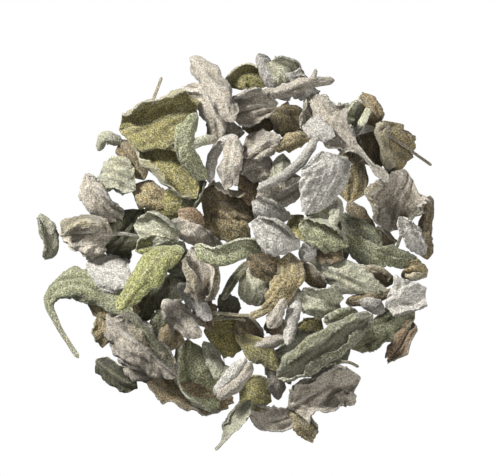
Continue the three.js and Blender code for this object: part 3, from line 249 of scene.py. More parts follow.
         curl=(110, 140), wave=0.7, torn=1.5, tone=0.4),
    leaf("thin_dark_stem", "dark", [(55, 13.5), (51.5, 9.5, 0.4), (49, 6, 0.4), (47, 0.5)],
         [1.5, 1.4, 1.4, 1.5], joins="warm_grey_cup"),
    leaf("lilac_boat", "lilac", [(47.5, 10), (52, 4, 0.6), (55.5, -1.5)], [2.6, 5, 3], curl=(110, 100),
         joins="thin_dark_stem"),
    leaf("brown_ring", "brown", [(33, -6.5), (41, -7, 1), (46, -10.5)], [3, 5.6, 4.4], curl=(200, -60),
         wave=0.4),
    leaf("smooth_green_leaf", "sage", [(20.5, -1.5), (31.5, -7.5, 2.2), (44.5, -13)], [3, 7.4, 7.2, 2.6],
         curl=(-80, -70), wave=0.3, joins="brown_ring"),
    leaf("dark_wedge", "brown", [(47, -12.6), (40, -14, 0.8), (31.8, -16)], [2, 3.8, 2.6], curl=(-90, -70),
         joins="smooth_green_leaf"),
    leaf("grey_wedge_bit", "lilac", [(36, -15), (40, -16.8, 0.6), (43.6, -18.6)], [2.2, 3.8, 2.6],
         curl=(-70, -70), joins="dark_wedge"),
    leaf("dark_brown_knot", "brown", [(22, 2.5), (26, 0, 1), (31, -2.5)], [4, 6.5, 4], curl=(130, -60),
         wave=0.5),
    leaf("dark_olive_bit", "olive", [(15, 10.5), (18.5, 6.5, 1), (23.4, 2.4)], [3.4, 6, 4], curl=(-50, 60),
         wave=0.4, joins="dark_brown_knot"),
    leaf("dark_inner_leaf", "dark", [(18.5, 14.5), (23.5, 12, 1), (29, 7.5)], [4, 7, 4], curl=(60, -60),
         wave=0.4, joins="dark_olive_bit"),
    leaf("pale_bit", "lilac", [(22.5, 3), (20.5, -0.5, 1), (18.5, -4)], [3, 4.4, 3], curl=(-90, -90),
         joins="dark_brown_knot"),
    leaf("brown_curl", "brown", [(18, -3.8), (21.8, -7.6, 1), (26, -11.4)], [3, 4.4, 3], curl=(120, -60),
         wave=0.4, joins="pale_bit"),
    leaf("tan_green_leaf", "green", [(17.5, 7.5), (24.5, 5.5, 1.2), (32.5, 1)], [4, 7.6, 7, 3],
         curl=(140, -60), wave=0.5, joins="dark_brown_knot"),
    leaf("pale_green_hook", "sage", [(23, 15), (27.5, 14.5, 1), (28.5, 10.5, 1), (27, 6.5)],
         [2.2, 3.4, 3.2, 2.2], curl=(-110, -110), joins="tan_green_leaf"),
    leaf("pale_green_leaf", "sage", [(0.5, -6), (4.5, -11.5, 1.2), (9, -16.5)], [4, 8, 7.4, 4],
         curl=(-60, -50), wave=0.4),
    leaf("thin_dark_stick", "dark", [(2.5, -3.5), (-1.5, -8.5, 0.4), (-5.5, -15)], [2.2, 3, 2.2],
         joins="pale_green_leaf"),
    leaf("grey_brown_leaf", "brown", [(1.5, 0.5), (8.4, -5, 1), (15, -11)], [4, 7.4, 7, 4], curl=(70, -70),
         wave=0.4, joins="pale_green_leaf"),
    leaf("centre_grey_leaf", "grey", [(5, 15.5), (12.5, 17.5, 1.5), (20, 21.5)], [4, 8.4, 8, 3.6],
         curl=(-70, -90), wave=0.4),
    leaf("pale_sage_oval", "sage", [(13, 29), (12.5, 24, 1), (12, 18.5)], [3, 5.6, 4], curl=(-60, -60),
         joins="centre_grey_leaf"),
    leaf("twisted_strip", "lilac", [(3.5, 14.5), (9.5, 12, 1), (15.5, 9.5)], [3.6, 6, 5.6, 3],
         curl=(160, -60), twist=50, joins="centre_grey_leaf"),
    leaf("green_arched_roll", "green",
         [(-48.5, -32.5), (-54.5, -23.5, 1), (-57.5, -15.5, 2.5), (-51, -11, 3), (-41, -13.5, 1.5),
          (-32, -19, 0.5)],
         [1.5, 1.6, 3.2, 7, 8, 5], curl=(-70, -120), tone=0.2),
    leaf("pale_cone", "lilac", [(-46.5, -4), (-39.5, -6.5, 1.5), (-32, -9.5, 2)], [3, 8.4, 9, 8],
         curl=(-110, -100), joins="green_arched_roll"),
    leaf("creased_grey_leaf", "grey", [(-39.5, -21), (-30, -28.5, 1.5), (-18.5, -38)], [6, 11, 9, 3.5],
         curl=(170, -130), wave=0.5),
    leaf("dark_strip", "dark", [(-32.5, -18.5), (-27, -26, 1), (-20, -35)], [2, 3, 2.6, 1.7],
         curl=(-90, -90), joins="creased_grey_leaf"),
    leaf("light_grey_roll", "grey", [(-23, -15), (-18, -20.5, 1.5), (-11.5, -26)], [3, 5.6, 5.6, 3.4],
         curl=(-150, -140)),
    leaf("lilac_grey_roll", "lilac", [(-18.5, -10), (-13.5, -15.5, 1), (-8.5, -21)], [2.6, 3.8, 3.8, 2.6],
         curl=(-140, -140)),
    leaf("hairpin_roll", "lilac", [(2, -32.5), (-3, -38.5, 1.5), (-7.5, -43.5)], [2.6, 3.6, 3.6, 3],
         curl=(-140, -140), tone=-0.3),
    leaf("hairpin_return", "grey", [(3.5, -33.5), (-0.5, -40, 1), (-7, -44.5)], [2.2, 2.8, 2.8, 2.6],
         curl=(-120, -120), joins="hairpin_roll"),
    leaf("warm_grey_crumple", "grey", [(14.5, -47.5), (24, -42.5, 1.5), (36.5, -38.5)], [5, 9.5, 10, 6],
         curl=(110, 80), wave=0.9, pucker=0.6),
    leaf("lower_right_bit", "grey", [(28.5, -43.5), (32.4, -44.6, 0.6), (35.2, -43.4)], [2.4, 3.4, 2.4],
         curl=(60, -60), torn=0.8, joins="warm_grey_crumple"),
    leaf("pale_stalk", "lilac", [(17, -11), (16, -19, 1.5), (14, -28.5)], [2.2, 3, 3, 2.2],
         curl=(-120, -120)),
    leaf("lobed_light_leaf", "sage", [(17, -13.5), (24.5, -15, 1.2), (32, -14.5)], [3.5, 7.4, 7.4, 4],
         curl=(120, -50), wave=0.7, torn=1.5, joins="pale_stalk"),
    leaf("tan_stalked_leaf", "tan", [(3, -20.5), (9.5, -16, 1), (14.5, -8.5, 2), (15, -0.5)],
         [2.4, 3, 6.6, 7, 4], curl=(-60, -60), wave=0.4),
    leaf("thin_tan_twig", "tan", [(-8.4, -18.6), (-1, -19.4, 0.4), (5.6, -19.6)], [1.5, 1.5, 1.5],
         joins="tan_stalked_leaf"),
    leaf("small_grey_roll", "grey", [(13.5, -14.5), (11, -19, 0.8), (8.5, -23.5)], [2.4, 3.6, 2.6],
         curl=(-110, -110), joins="tan_stalked_leaf"),
    leaf("pink_tan_leaf", "russet", [(-18.5, 12), (-14.5, 9, 1), (-11, 6)], [3, 5.8, 4], curl=(-50, -50)),
    leaf("slim_grey_roll", "grey", [(-20.5, 9), (-14.5, 5, 1.5), (-4.5, 0.5)], [2.8, 4.4, 4.4, 2.6],
         curl=(-140, -140), joins="pink_tan_leaf"),
    leaf("light_double_roll", "grey", [(-14.5, 1), (-11, -7.5, 1.5), (-12, -16)], [4, 8.6, 8.4, 5],
         curl=(190, 180)),
    leaf("creamy_wavy_leaf", "green", [(-13.5, 1.5), (-6.5, -2, 1), (0.5, 1, 1.2), (7, 0.5)],
         [3, 5.6, 5.6, 3], curl=(100, -50), wave=0.6),
    leaf("centre_light_leaf", "lilac", [(3.5, 8.5), (10.5, 5, 1.5), (18, 0.5)], [4, 8, 7.8, 4],
         curl=(150, -60), wave=0.5),
    leaf("grey_top_roll", "grey", [(-18, 48.5), (-11, 47, 1.5), (-7.5, 40.5, 1.5), (-6.5, 32)],
         [3.4, 5.4, 5.6, 4], curl=(-150, -140)),
    leaf("long_grey_roll", "grey", [(-15, 58.5), (-9.5, 52, 1.5), (-5, 45, 1.5), (-2, 38)],
         [3.4, 5.8, 5.4, 3.6], curl=(-150, -140)),
    leaf("warm_thick_roll", "grey", [(0.5, 28.5), (6, 31.5, 1.5), (12, 34)], [4.4, 6.8, 6.4, 4],
         curl=(-150, -150)),
    leaf("dark_band", "tan", [(9.5, 30.5), (15, 32.5, 0.8), (21.5, 34.5)], [2.8, 4, 3], curl=(-90, -90),
         joins="warm_thick_roll"),
    leaf("crumpled_stalked_leaf", "grey",
         [(44.5, 20), (38.5, 26.5, 1), (31.5, 32.5, 2), (25, 38.5, 2.5), (20.5, 47, 0.5)],
         [2, 2.2, 2.3, 8.6, 10, 4], curl=(100, 70), wave=0.8, pucker=0.6, tone=-0.6),
    leaf("long_pale_stalk", "lilac", [(23.5, 35.5), (20, 29, 1), (15, 23.5, 1), (5, 18)], [2, 2.5, 2.5, 2],
         curl=(-70, -70)),
    leaf("lilac_shoulder", "lilac", [(18.6, 37), (23.2, 35.8, 0.8), (28.4, 34)], [3, 5.8, 3],
         curl=(-60, -60), wave=0.5, joins="long_pale_stalk"),
    leaf("lilac_arch", "lilac", [(-9, 20), (-8.5, 27, 1), (-5.5, 32, 2), (-0.5, 34, 1)], [2, 2.6, 2.6, 2.4],
         curl=(-90, -90)),
    leaf("light_standing_roll", "grey", [(-1.5, 34.5), (-2.5, 27, 1.5), (-4.5, 18)], [3, 4.6, 4.4, 3],
         curl=(-150, -140), joins="lilac_arch"),
    leaf("second_strand", "grey", [(-1.2, 33), (-0.8, 26, 0.6), (-1.4, 19)], [1.8, 2, 1.8],
         joins="light_standing_roll"),
    leaf("house_shaped_leaf", "lilac", [(24.5, 29.5, 0.5), (25, 22, 1.5), (19, 10)], [9, 12.5, 9.5, 3],
         curl=(-40, -50), fold=5, wave=0.6, torn=1),
    leaf("very_pale_leaf", "lilac", [(43.5, -17), (49.5, -14.5, 1.5), (56, -11.5)], [4, 9, 8.6, 4],
         curl=(-60, 110), wave=0.7),
    leaf("spiral_scroll", "sage", [(25, -21.5), (30, -20, 0.6), (35.5, -18.5)], [4.6, 5.6, 5.6, 4.4],
         curl=(320, -40)),
    leaf("long_double_roll", "sage", [(40, -19.5), (31.5, -25, 2), (21.5, -31.5, 2.5), (11, -38.5)],
         [2.6, 6.6, 8, 7.6, 2.6], curl=(170, 150)),
    leaf("light_curled_cup", "grey", [(-54.5, 4.5), (-46.5, 5.2, 2.5), (-38, 4.5, 1)], [4, 9.8, 10.5, 6],
         curl=(200, -120), wave=0.5, tone=0.5),
    leaf("lower_cup_layer", "grey", [(-50, 1.5), (-45, 1, 1), (-40, 0)], [3, 4.6, 3], curl=(-90, -90),
         joins="light_curled_cup", tone=0.4),
    leaf("pale_petiole", "lilac", [(-39.6, 4.6), (-35, 4.8, 0.4), (-30.5, 3.9)], [1.6, 1.6, 1.6],
         joins="light_curled_cup"),
    leaf("yellow_sage_leaf", "sage", [(-18.5, 3), (-24.5, 6, 1.8), (-32, 7.5)], [4, 9.6, 9.4, 3],
         curl=(-50, 140), wave=0.5, tone=0.2),
    leaf("yellow_green_fold", "lime", [(-31.5, -0.4), (-25.2, 2, 0.8), (-18.8, 1.2)], [3, 5, 4],
         curl=(90, -60), wave=0.4, joins="yellow_sage_leaf"),
    leaf("bright_half_roll", "lime", [(-16.5, 0), (-24, -2, 2), (-29.5, -8, 2), (-36.5, -18)],
         [3, 7.2, 7.2, 2.4], curl=(-60, -170)),
    leaf("upper_olive_leaf", "olive", [(-36.5, 36), (-24.5, 39, 2.5), (-11, 45)], [6, 13, 13.5, 10],
         curl=(110, -45), fold=5, wave=0.6, torn=2, tone=-0.4),
    leaf("left_thin_stalk", "tan", [(-26.5, 43.5), (-25, 47.5, 0.4), (-23.5, 52)], [1.5, 1.4, 1.3],
         joins="upper_olive_leaf"),
    leaf("grey_green_strap", "green", [(-13, 41), (-16.5, 34, 1.5), (-15.5, 27.5, 1.5), (-10, 21)],
         [3, 4.6, 4.6, 3], curl=(-110, -110)),
    leaf("short_stub", "sage", [(-15.5, 31), (-11, 32.5, 0.4), (-6.5, 33.5)], [2, 2.6, 2], curl=(-90, -90),
         joins="grey_green_strap"),
]
print("leaves:", len(LEAVES))

# %% [markdown]
# ## The shape of a leaf
# A drying sage leaf keeps its midrib and rolls its margins, because its two faces shrink unequally. It
# could be a flat sheet bent by modifiers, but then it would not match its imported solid. So both follow one
# rule: a smooth spine along the midrib, and across it a section that turns more and more to the margin.

# %% Smooth curves along a leaf
def along(values, u):
    """A smooth curve through evenly spaced values: a cubic on each stretch, whose slope at a value is half
    the step between that value's neighbours."""
    values = np.asarray(values, dtype=float)
    last = len(values) - 1
    padded = np.concatenate([[2 * values[0] - values[1]], values, [2 * values[-1] - values[-2]]])
    stretch = np.clip(np.floor(u * last), 0, last - 1).astype(int)
    t = u * last - stretch
    if values.ndim > 1:
        t = t[..., None]
    before, a, b, after = (padded[stretch + step] for step in range(4))
    slope_a = (b - before) / 2
    slope_b = (after - a) / 2
    return (a + slope_a * t + (3 * (b - a) - 2 * slope_a - slope_b) * t ** 2
            + (2 * (a - b) + slope_a + slope_b) * t ** 3)


def spine_length(item):
    """Length of the leaf seen from above: the sum of the steps between its spine points."""
    return float(np.hypot(*np.diff(item["spine"][:, :2], axis=0).T).sum())


print("longest leaf:", round(max(spine_length(item) for item in LEAVES), 1), "mm")

# %% The rolled section
ROLL_TIGHTENING = 1.35
SECTION_STEPS = 24


def turning(fold, curl, flat, v):
    """Angle of the section at v from midrib (0) to margin (1): the fold, and the curl on a rising power."""
    return fold + curl * np.maximum(0, (v - flat) / (1 - flat)) ** ROLL_TIGHTENING


def section_point(fold, curl, flat, v):
    """Point at v on a half blade of length 1: the sum of short steps, each along the section's angle."""
    steps = (np.arange(SECTION_STEPS) + 0.5) / SECTION_STEPS
    angle = turning(fold, np.asarray(curl)[..., None], flat, np.asarray(v)[..., None] * steps)
    return np.cos(angle).mean(-1) * v, np.sin(angle).mean(-1) * v


def flat_share(item):
    """Half the flat width of a leaf that looks 1 wide from above."""
    v = np.arange(1, SECTION_STEPS + 1) / SECTION_STEPS
    left, right = (section_point(math.radians(item["fold"]), math.radians(c), item["flat"], v)[0]
                   for c in item["curl"])
    reach = np.concatenate([[0], left, -right])
    return 1 / (reach.max() - reach.min())


print("most tightly rolled leaf, flat width to width seen:", round(2 * max(map(flat_share, LEAVES)), 2))

# %% Ends and the middle surface
SMALLEST_ROLL_RADIUS = 0.95
NARROWEST = 1.2
SPINE_STEP = 0.01
# The shifts, in radians, keep the waves of the two margins out of step.
MARGIN_WAVE = 0.05
MARGIN_WAVE_LENGTH = 7
MARGIN_WAVE_SHIFT = 1.7
RUFFLE_LENGTH = 11
RUFFLE_SHIFT = 2.3
DENTS_ALONG = 9
DENTS_ACROSS = 4
# Both ends are pointed: the margin falls short of the midrib by this share of the half width, on this
# power of the distance from the midrib, and by at most this share of the length.
END_TAPER = 1.05
END_POWER = 1.4
DEEPEST_CUT = 0.22
END_START = 0.6
END_RISE = 1.5
# Rags of a torn end: their middle depth, and the height, run and shift of two waves across it.
RAG_DEPTH = 0.5
RAG_WAVES = ((0.3, 5.1, 1), (0.2, 11.3, 2))


def cut_back(half_width, length, torn, v):
    """Share of the length that an end loses at v across it: a point, and rags where the end is torn."""
    pointed = END_TAPER * half_width * np.abs(v) ** END_POWER
    rag = torn * sum((high * np.sin(run * v + shift * length) for high, run, shift in RAG_WAVES), RAG_DEPTH)
    return np.minimum((pointed + rag) / length, DEEPEST_CUT)


def near_end(u):
    """0 up to a share of the way to the end, then rising on a power to 1 at it."""
    return np.maximum(0, (u - END_START) / (1 - END_START)) ** END_RISE


def unit(vectors):
    """Vectors of length 1 in the same directions."""
    return vectors / np.linalg.norm(vectors, axis=-1, keepdims=True)


def middle(item, u, v):
    """Middle surface of a leaf at u along and v across (-1 right margin, 1 left margin), and its normal.

    The spine carries a level frame, which is banked. In it the section is rolled, and ruffles and dents
    move the surface along its normal. Also gives the flat half width there.
    """
    length, share = spine_length(item), flat_share(item)
    u, v = np.broadcast_arrays(u, v)
    u = (u + cut_back(item["widths"][0] * share, length, 0, v) * near_end(1 - u)
         - cut_back(item["widths"][-1] * share, length, item["torn"], v) * near_end(u))
    ahead = along(item["spine"], np.minimum(1, u + SPINE_STEP))
    behind = along(item["spine"], np.maximum(0, u - SPINE_STEP))
    forward = unit(ahead - behind)
    level = unit(np.stack([-forward[..., 1], forward[..., 0], 0 * u], axis=-1))
    upright = np.cross(forward, level)
    bank = np.radians(item["roll"] + item["twist"] * (u - 0.5))[..., None]
    side = level * np.cos(bank) + upright * np.sin(bank)
    up = upright * np.cos(bank) - level * np.sin(bank)

    hand = np.sign(v)
    wave_turn = 2 * np.pi * length / MARGIN_WAVE_LENGTH * u + MARGIN_WAVE_SHIFT * hand + length
    half = along(item["widths"], u)
    half = np.maximum(half, NARROWEST) * share * np.where(v == 0, 1, 1 + MARGIN_WAVE * np.sin(wave_turn))
    wanted = np.radians(np.where(hand > 0, item["curl"][0], item["curl"][1]))
    tightest = half / SMALLEST_ROLL_RADIUS / ROLL_TIGHTENING
    bent = np.sign(wanted) * np.minimum(np.abs(wanted), tightest)
    distance = np.abs(v)
    fold = math.radians(item["fold"])
    across, rise = section_point(fold, bent, item["flat"], distance)
    angle = turning(fold, bent, item["flat"], distance)

    ruffle_turn = 2 * np.pi * length / RUFFLE_LENGTH * u + RUFFLE_SHIFT * hand + length
    ruffle = item["wave"] * distance ** 2 * np.sin(ruffle_turn)
    dent = item["pucker"] * np.sin(DENTS_ALONG * u + length) * np.sin(DENTS_ACROSS * v + 2 * length)
    normal = side * (-hand * np.sin(angle))[..., None] + up * np.where(v == 0, 1, np.cos(angle))[..., None]
    section = side * (hand * across * half)[..., None] + up * (rise * half)[..., None]
    point = along(item["spine"], u) + section + normal * (ruffle + dent)[..., None]
    return point, normal, half


arches = [middle(item, np.array([0.5]), np.array([0.0]))[0][0, 2] for item in LEAVES]
print("highest midrib of a leaf lying alone:", round(max(arches), 1), "mm")

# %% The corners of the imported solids, and the middle of the heap
BLADE_THICKNESS = 0.75
STALK_THICKNESS = 1.25
BLADE_WIDTH = 4.0
# How the rings of a solid grow with the leaf's length in mm, and the corners across a face with its curl in
# degrees: a start, the amount that adds one, the fewest and the most.
RINGS = (2.4, 7.2, 4, 9)
CORNERS_ACROSS = (3.2, 100, 4, 7)


def blade_share(item, u):
    """0 where the leaf is a stalk, 1 where it is a blade, and between them as the leaf widens."""
    width = np.maximum(along(item["widths"], u), STALK_WIDTH)
    return np.minimum(1, (width - STALK_WIDTH) / (BLADE_WIDTH - STALK_WIDTH))


def thickness_at(item, u):
    """Thickness along the leaf, from the stalk's to the blade's."""
    return STALK_THICKNESS + (BLADE_THICKNESS - STALK_THICKNESS) * blade_share(item, u)


def grown(rule, amount):
    """The start of a rule and one more for each step of the amount, to the nearest whole number allowed."""
    start, step, fewest, most = rule
    return math.floor(min(max(start + amount / step, fewest), most) + 0.5)


def coarse_points(item):
    """The corners of a leaf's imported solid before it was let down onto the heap: rings of corners along it,
    above and below its middle surface."""
    turned = abs(item["curl"][0]) + abs(item["curl"][1])
    u = np.linspace(0, 1, grown(RINGS, spine_length(item)))[:, None]
    v = np.linspace(1, -1, grown(CORNERS_ACROSS, turned))[None, :]
    point, normal, _ = middle(item, u, v)
    lift = normal * (thickness_at(item, u)[..., None] / 2)
    return np.concatenate([(point + lift).reshape(-1, 3), (point - lift).reshape(-1, 3)])


coarse = {item["name"]: coarse_points(item) for item in LEAVES}
every_corner = np.concatenate(list(coarse.values()))
MIDDLE = (every_corner[:, :2].min(axis=0) + every_corner[:, :2].max(axis=0)) / 2
print("corners:", len(every_corner), "middle of the heap in the list's own millimetres:", MIDDLE.round(2))

# %% [markdown]
# ## The camera and the light
# The heap is photographed from straight above on a white table that shines by itself, so the gaps between
# the leaves stay pure white. A short lens close by would make the leaves at the rim lean outwards, so a
# long one looks down from a metre away. A wide soft box overhead lights the heap evenly, a small low lamp
# at the upper left gives each roll a lit and a shaded side, and a weak one at the right opens the shadows.

# %% Camera
# Width and centre of the view at the height of the leaves, in the list's millimetres.
VIEW_WIDTH = 149.7
VIEW_CENTRE = (2.85, 3.6)
CAMERA_HEIGHT = 1000.0
SENSOR = 36.0
LEAF_PLANE = 9.0

camera_data = bpy.data.cameras.new("camera")
camera_data.sensor_width = SENSOR
camera_data.lens = SENSOR * (CAMERA_HEIGHT - LEAF_PLANE) / VIEW_WIDTH
camera_data.clip_start = 0.05
camera = bpy.data.objects.new("camera", camera_data)
camera.location = ((VIEW_CENTRE[0] - MIDDLE[0]) * MM, (VIEW_CENTRE[1] - MIDDLE[1]) * MM, CAMERA_HEIGHT * MM)
bpy.context.collection.objects.link(camera)
bpy.context.scene.camera = camera
print("lens:", round(camera_data.lens, 1), "mm")


# %% Colours and nodes
def linear(hex_colour):
    """An sRGB hex colour as linear red, green, blue and alpha."""
    value = np.array([int(hex_colour[i:i + 2], 16) for i in (1, 3, 5)]) / 255
    value = np.where(value <= 0.04045, value / 12.92, ((value + 0.055) / 1.055) ** 2.4)
    return (*value.tolist(), 1.0)


def add_node(tree, kind, inputs=None, **settings):
    """Adds a node, sets its settings, and sets or links its inputs, which are named or numbered."""
    node = tree.nodes.new(kind)
    for key, value in settings.items():
        setattr(node, key, value)
    for key, value in (inputs or {}).items():
        if isinstance(value, bpy.types.NodeSocket):
            tree.links.new(value, node.inputs[key])
        else:
            node.inputs[key].default_value = value
    return node


print("mid grey in linear light:", round(linear("#808080")[0], 3))

# %% The white table
TABLE_HALF = 3.0
TABLE_TOP = -0.1 * MM


def white_table():
    """A table that shines evenly and neither lights nor tints the leaves."""
    mesh = bpy.data.meshes.new("table")
    corners = [(x * TABLE_HALF, y * TABLE_HALF, TABLE_TOP) for x, y in ((-1, -1), (1, -1), (1, 1), (-1, 1))]
    mesh.from_pydata(corners, [], [(0, 1, 2, 3)])
    material = bpy.data.materials.new("lit white table")
    material.use_nodes = True
    tree = material.node_tree
    tree.nodes.clear()
    shine = add_node(tree, "ShaderNodeEmission", {"Color": linear("#ffffff"), "Strength": 1.0})
    add_node(tree, "ShaderNodeOutputMaterial", {"Surface": shine.outputs[0]})
    mesh.materials.append(material)
    table = bpy.data.objects.new("table", mesh)
    bpy.context.collection.objects.link(table)
    table.visible_diffuse = False
    table.visible_glossy = False


white_table()
print("table top at", TABLE_TOP / MM, "mm")


# %% Lamps and world
def lamp(name, place, width, power):
    """A square soft lamp at a place in metres, turned to the middle of the heap."""
    data = bpy.data.lights.new(name, "AREA")
    data.size = width
    data.energy = power
    light = bpy.data.objects.new(name, data)
    light.location = place
    aim = -light.location
    light.rotation_euler = aim.to_track_quat("-Z", "Y").to_euler()
    bpy.context.collection.objects.link(light)


lamp("soft box", (0.1, -0.1, 1.3), 0.9, 4.8)
lamp("main lamp", (-0.62, 0.62, 0.5), 0.2, 19.4)
lamp("second lamp", (0.7, -0.2, 0.4), 0.3, 3.0)
world = bpy.data.worlds.new("white studio")
world.use_nodes = True
world.node_tree.nodes["Background"].inputs["Color"].default_value = linear("#ffffff")
world.node_tree.nodes["Background"].inputs["Strength"].default_value = 0.03
bpy.context.scene.world = world
bpy.context.scene.view_settings.view_transform = "Standard"
print("lamps:", len(bpy.data.lights), "watts:", round(sum(light.energy for light in bpy.data.lights), 1))

# %% [markdown]
# ## Where each leaf lies
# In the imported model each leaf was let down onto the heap: its points were raised by a lift, a share of
# their x and a share of their y, so seen from above it stayed in place. The three numbers could be copied,
# but they are found again here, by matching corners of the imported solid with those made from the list.

# %% Find the lies
SAME_PLACE = 0.004
FIT_LIMITS = (2.0, 0.5, 0.1, 0.02)


def lie_of(item):
    """Lift and tilt of a leaf: the plane through the height differences of corners at the same x and y.

    Pairs that miss the plane are dropped in a few rounds. Also gives the node and the number of pairs left.
    """
    root = item
    while root["joins"]:
        root = next(other for other in LEAVES if other["name"] == root["joins"])
    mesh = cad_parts[root["name"]].data
    packed = np.empty(len(mesh.vertices) * 3, dtype=np.float32)
    mesh.vertices.foreach_get("co", packed)
    packed = np.unique((packed.reshape(-1, 3).astype(float) / MM).round(3), axis=0)
    own = coarse[item["name"]] - (*MIDDLE, 0)
    apart = own[:, None, :] - packed[None, :, :]
    mine, theirs = np.nonzero((np.abs(apart[..., :2]) < SAME_PLACE).all(-1))
    rise = -apart[mine, theirs, 2]
    design = np.column_stack([np.ones(len(mine)), own[mine, 0], own[mine, 1]])
    keep = np.ones(len(mine), dtype=bool)
    for limit in FIT_LIMITS:
        fit = np.linalg.lstsq(design[keep], rise[keep], rcond=None)[0]
        miss = np.abs(design @ fit - rise)
        keep = miss < max(limit, np.sort(miss)[2])
    return root["name"], fit, int(keep.sum()), len(own)


lies = {item["name"]: lie_of(item) for item in LEAVES}
worst = min(lies.values(), key=lambda lie: lie[2] / lie[3])
print("share of corners matched, worst leaf:", round(worst[2] / worst[3], 2), "near", worst[0])
print("steepest tilt:", round(max(np.hypot(*lie[1][1:]) for lie in lies.values()), 2))

# %% [markdown]
# ## The veins
# A sage leaf is a net. Its midrib sends out side veins, and between them ever finer veins enclose small
# cells. From above each cell bulges up, which gives the pebbled look. From below the veins stand out
# under pale felt. The net could be painted, but its relief catches the light, so it is part of the mesh.
# Worley cells, the regions nearest to scattered points, give the net as the lines where two of them meet.

# %% Lines and cells
# Large uneven factors, so that neighbouring cells get unlike numbers.
COLUMN_FACTOR = 127.1
ROW_FACTOR = 311.7
SEED_FACTOR = 74.7
SINE_FACTOR = 43758.5453
SECOND_SEED = 5
FAR_AWAY = 9.0


def scatter(column, row, seed):
    """A repeatable random number from 0 to 1 for each cell of a grid: the decimals of an enlarged sine."""
    value = np.sin(column * COLUMN_FACTOR + row * ROW_FACTOR + seed * SEED_FACTOR) * SINE_FACTOR
    return value - np.floor(value)


def worley(x, y, seed):
    """Distances to the nearest and second nearest of points scattered one to a unit cell."""
    column, row = np.floor(x), np.floor(y)
    first = np.full(np.shape(x), FAR_AWAY)
    second = first.copy()
    for step_x in (-1, 0, 1):
        for step_y in (-1, 0, 1):
            at_x = column + step_x + scatter(column + step_x, row + step_y, seed)
            at_y = row + step_y + scatter(column + step_x, row + step_y, seed + SECOND_SEED)
            distance = np.hypot(x - at_x, y - at_y)
            second = np.minimum(second, np.maximum(first, distance))
            first = np.minimum(first, distance)
    return first, second


def ridge(distance, width):
    """1 on a line and falling smoothly to 0 a width or two away from it."""
    return np.exp(-(distance / width) ** 2)


def wave(form, place, start):
    """A sine wave of a height in mm and a run in radians a mm, at a place in mm, shifted by a start."""
    height, run = form
    return height * np.sin(run * place + start)


print("a line 0.3 mm wide has", round(float(ridge(0.3, 0.3)), 2), "of its height left at 0.3 mm")

# %% The vein net
# Width of the midrib, and its share at the base and how much of it is lost up to the tip.
MIDRIB_WIDTH = 0.5
MIDRIB_BASE = 1.15
MIDRIB_LOSS = 0.75
# Side veins leave the midrib at 53 degrees: 0.75 mm along the leaf for each mm across it, so the distance
# square to a vein is 0.8 of the distance along the leaf.
SIDE_VEIN_PITCH = 3.4
SIDE_VEIN_SLANT = 0.75
SIDE_VEIN_SQUARE = 0.8
SIDE_VEIN_BEND = 0.02
SIDE_VEIN_WIDTH = 0.3
COARSE_NET = 2.3
COARSE_NET_WIDTH = 0.3
COARSE_NET_BENDS = ((0.3, 1.3), (0.3, 1.7))
FINE_NET = 0.85
FINE_NET_WIDTH = 0.16
FINE_NET_SEED = 11
BULGE_STEEPNESS = 1.2


def vein_net(s, t, length, seed):
    """Midrib, side veins, coarse net, fine net and bulges of a flat leaf at s along and t across it, in mm.

    The midrib thins towards the tip. Side veins repeat along the leaf, half a pitch apart on its halves.
    """
    midrib = ridge(t, MIDRIB_WIDTH * (MIDRIB_BASE - MIDRIB_LOSS * s / length))
    rooted = s - SIDE_VEIN_SLANT * np.abs(t) - SIDE_VEIN_BEND * t ** 2
    phase = rooted / SIDE_VEIN_PITCH + 0.5 * (t > 0) + seed
    side_vein = ridge((phase - np.round(phase)) * SIDE_VEIN_PITCH * SIDE_VEIN_SQUARE, SIDE_VEIN_WIDTH)
    bend = wave(COARSE_NET_BENDS[0], s, seed) + wave(COARSE_NET_BENDS[1], t, 2 * seed)
    first, second = worley((s + bend) / COARSE_NET, (t - bend) / COARSE_NET, seed)
    coarse_net = ridge((second - first) * COARSE_NET, COARSE_NET_WIDTH)
    first, second = worley(s / FINE_NET, t / FINE_NET, seed + FINE_NET_SEED)
    fine_net = ridge((second - first) * FINE_NET, FINE_NET_WIDTH)
    bulge = 1 - np.clip(first * BULGE_STEEPNESS, 0, 1) ** 2
    return midrib, side_vein, coarse_net, fine_net, bulge


sample = vein_net(*np.meshgrid(np.linspace(0, 30, 300), np.linspace(-5, 5, 100)), 30, 1)
print("share of a leaf that is midrib, side vein, coarse net, fine net:",
      [round(float((part > 0.5).mean()), 2) for part in sample[:4]])

# %% [markdown]
# ## Creases and broken margins
# As the thick blade dries it pleats along its length, crumples into shallow bowls and bulges between the
# side veins, and its brittle margin breaks off in small straight bites. A cloth simulation could fold it,
# but sums of simple waves and cells take no time, give the same leaf on each run, and follow the veins.

# %% Folds of the blade
# Height of the bulges between the side veins, and how far from the midrib they are full, both in mm. Then
# height and run of the uneven spots, along and across the leaf.
QUILT_HEIGHT = 0.07
QUILT_START = 2
SPOTS_ALONG = (0.1, 1.1)
SPOTS_ACROSS = (1.0, 1.3)
# Creases run along the leaf. These waves bend them, and the last number shifts them from leaf to leaf.
LONG_BEND = (0.9, 0.2)
SHORT_BEND = (0.3, 0.57)
CROSS_BEND = (0.8, 0.9)
LEAF_SHIFT = 0.37
# The levels keep the middle height of creases and crumples near that of the plain blade.
CREASE_PITCH = 3.4
CREASE_DEPTH = 0.36
CREASE_POWER = 0.7
CREASE_LEVEL = 1.3
CRUMPLE_LENGTH = 8.0
CRUMPLE_WIDTH = 3.2
CRUMPLE_DEPTH = 1.5
CRUMPLE_LEVEL = 0.45
CRUMPLE_SHIFT = 3.1
CRUMPLE_SEED = 23
FRILL_PITCH = 3.7
FRILL_DEPTH = 0.12
FRILL_SHIFT = 1.3
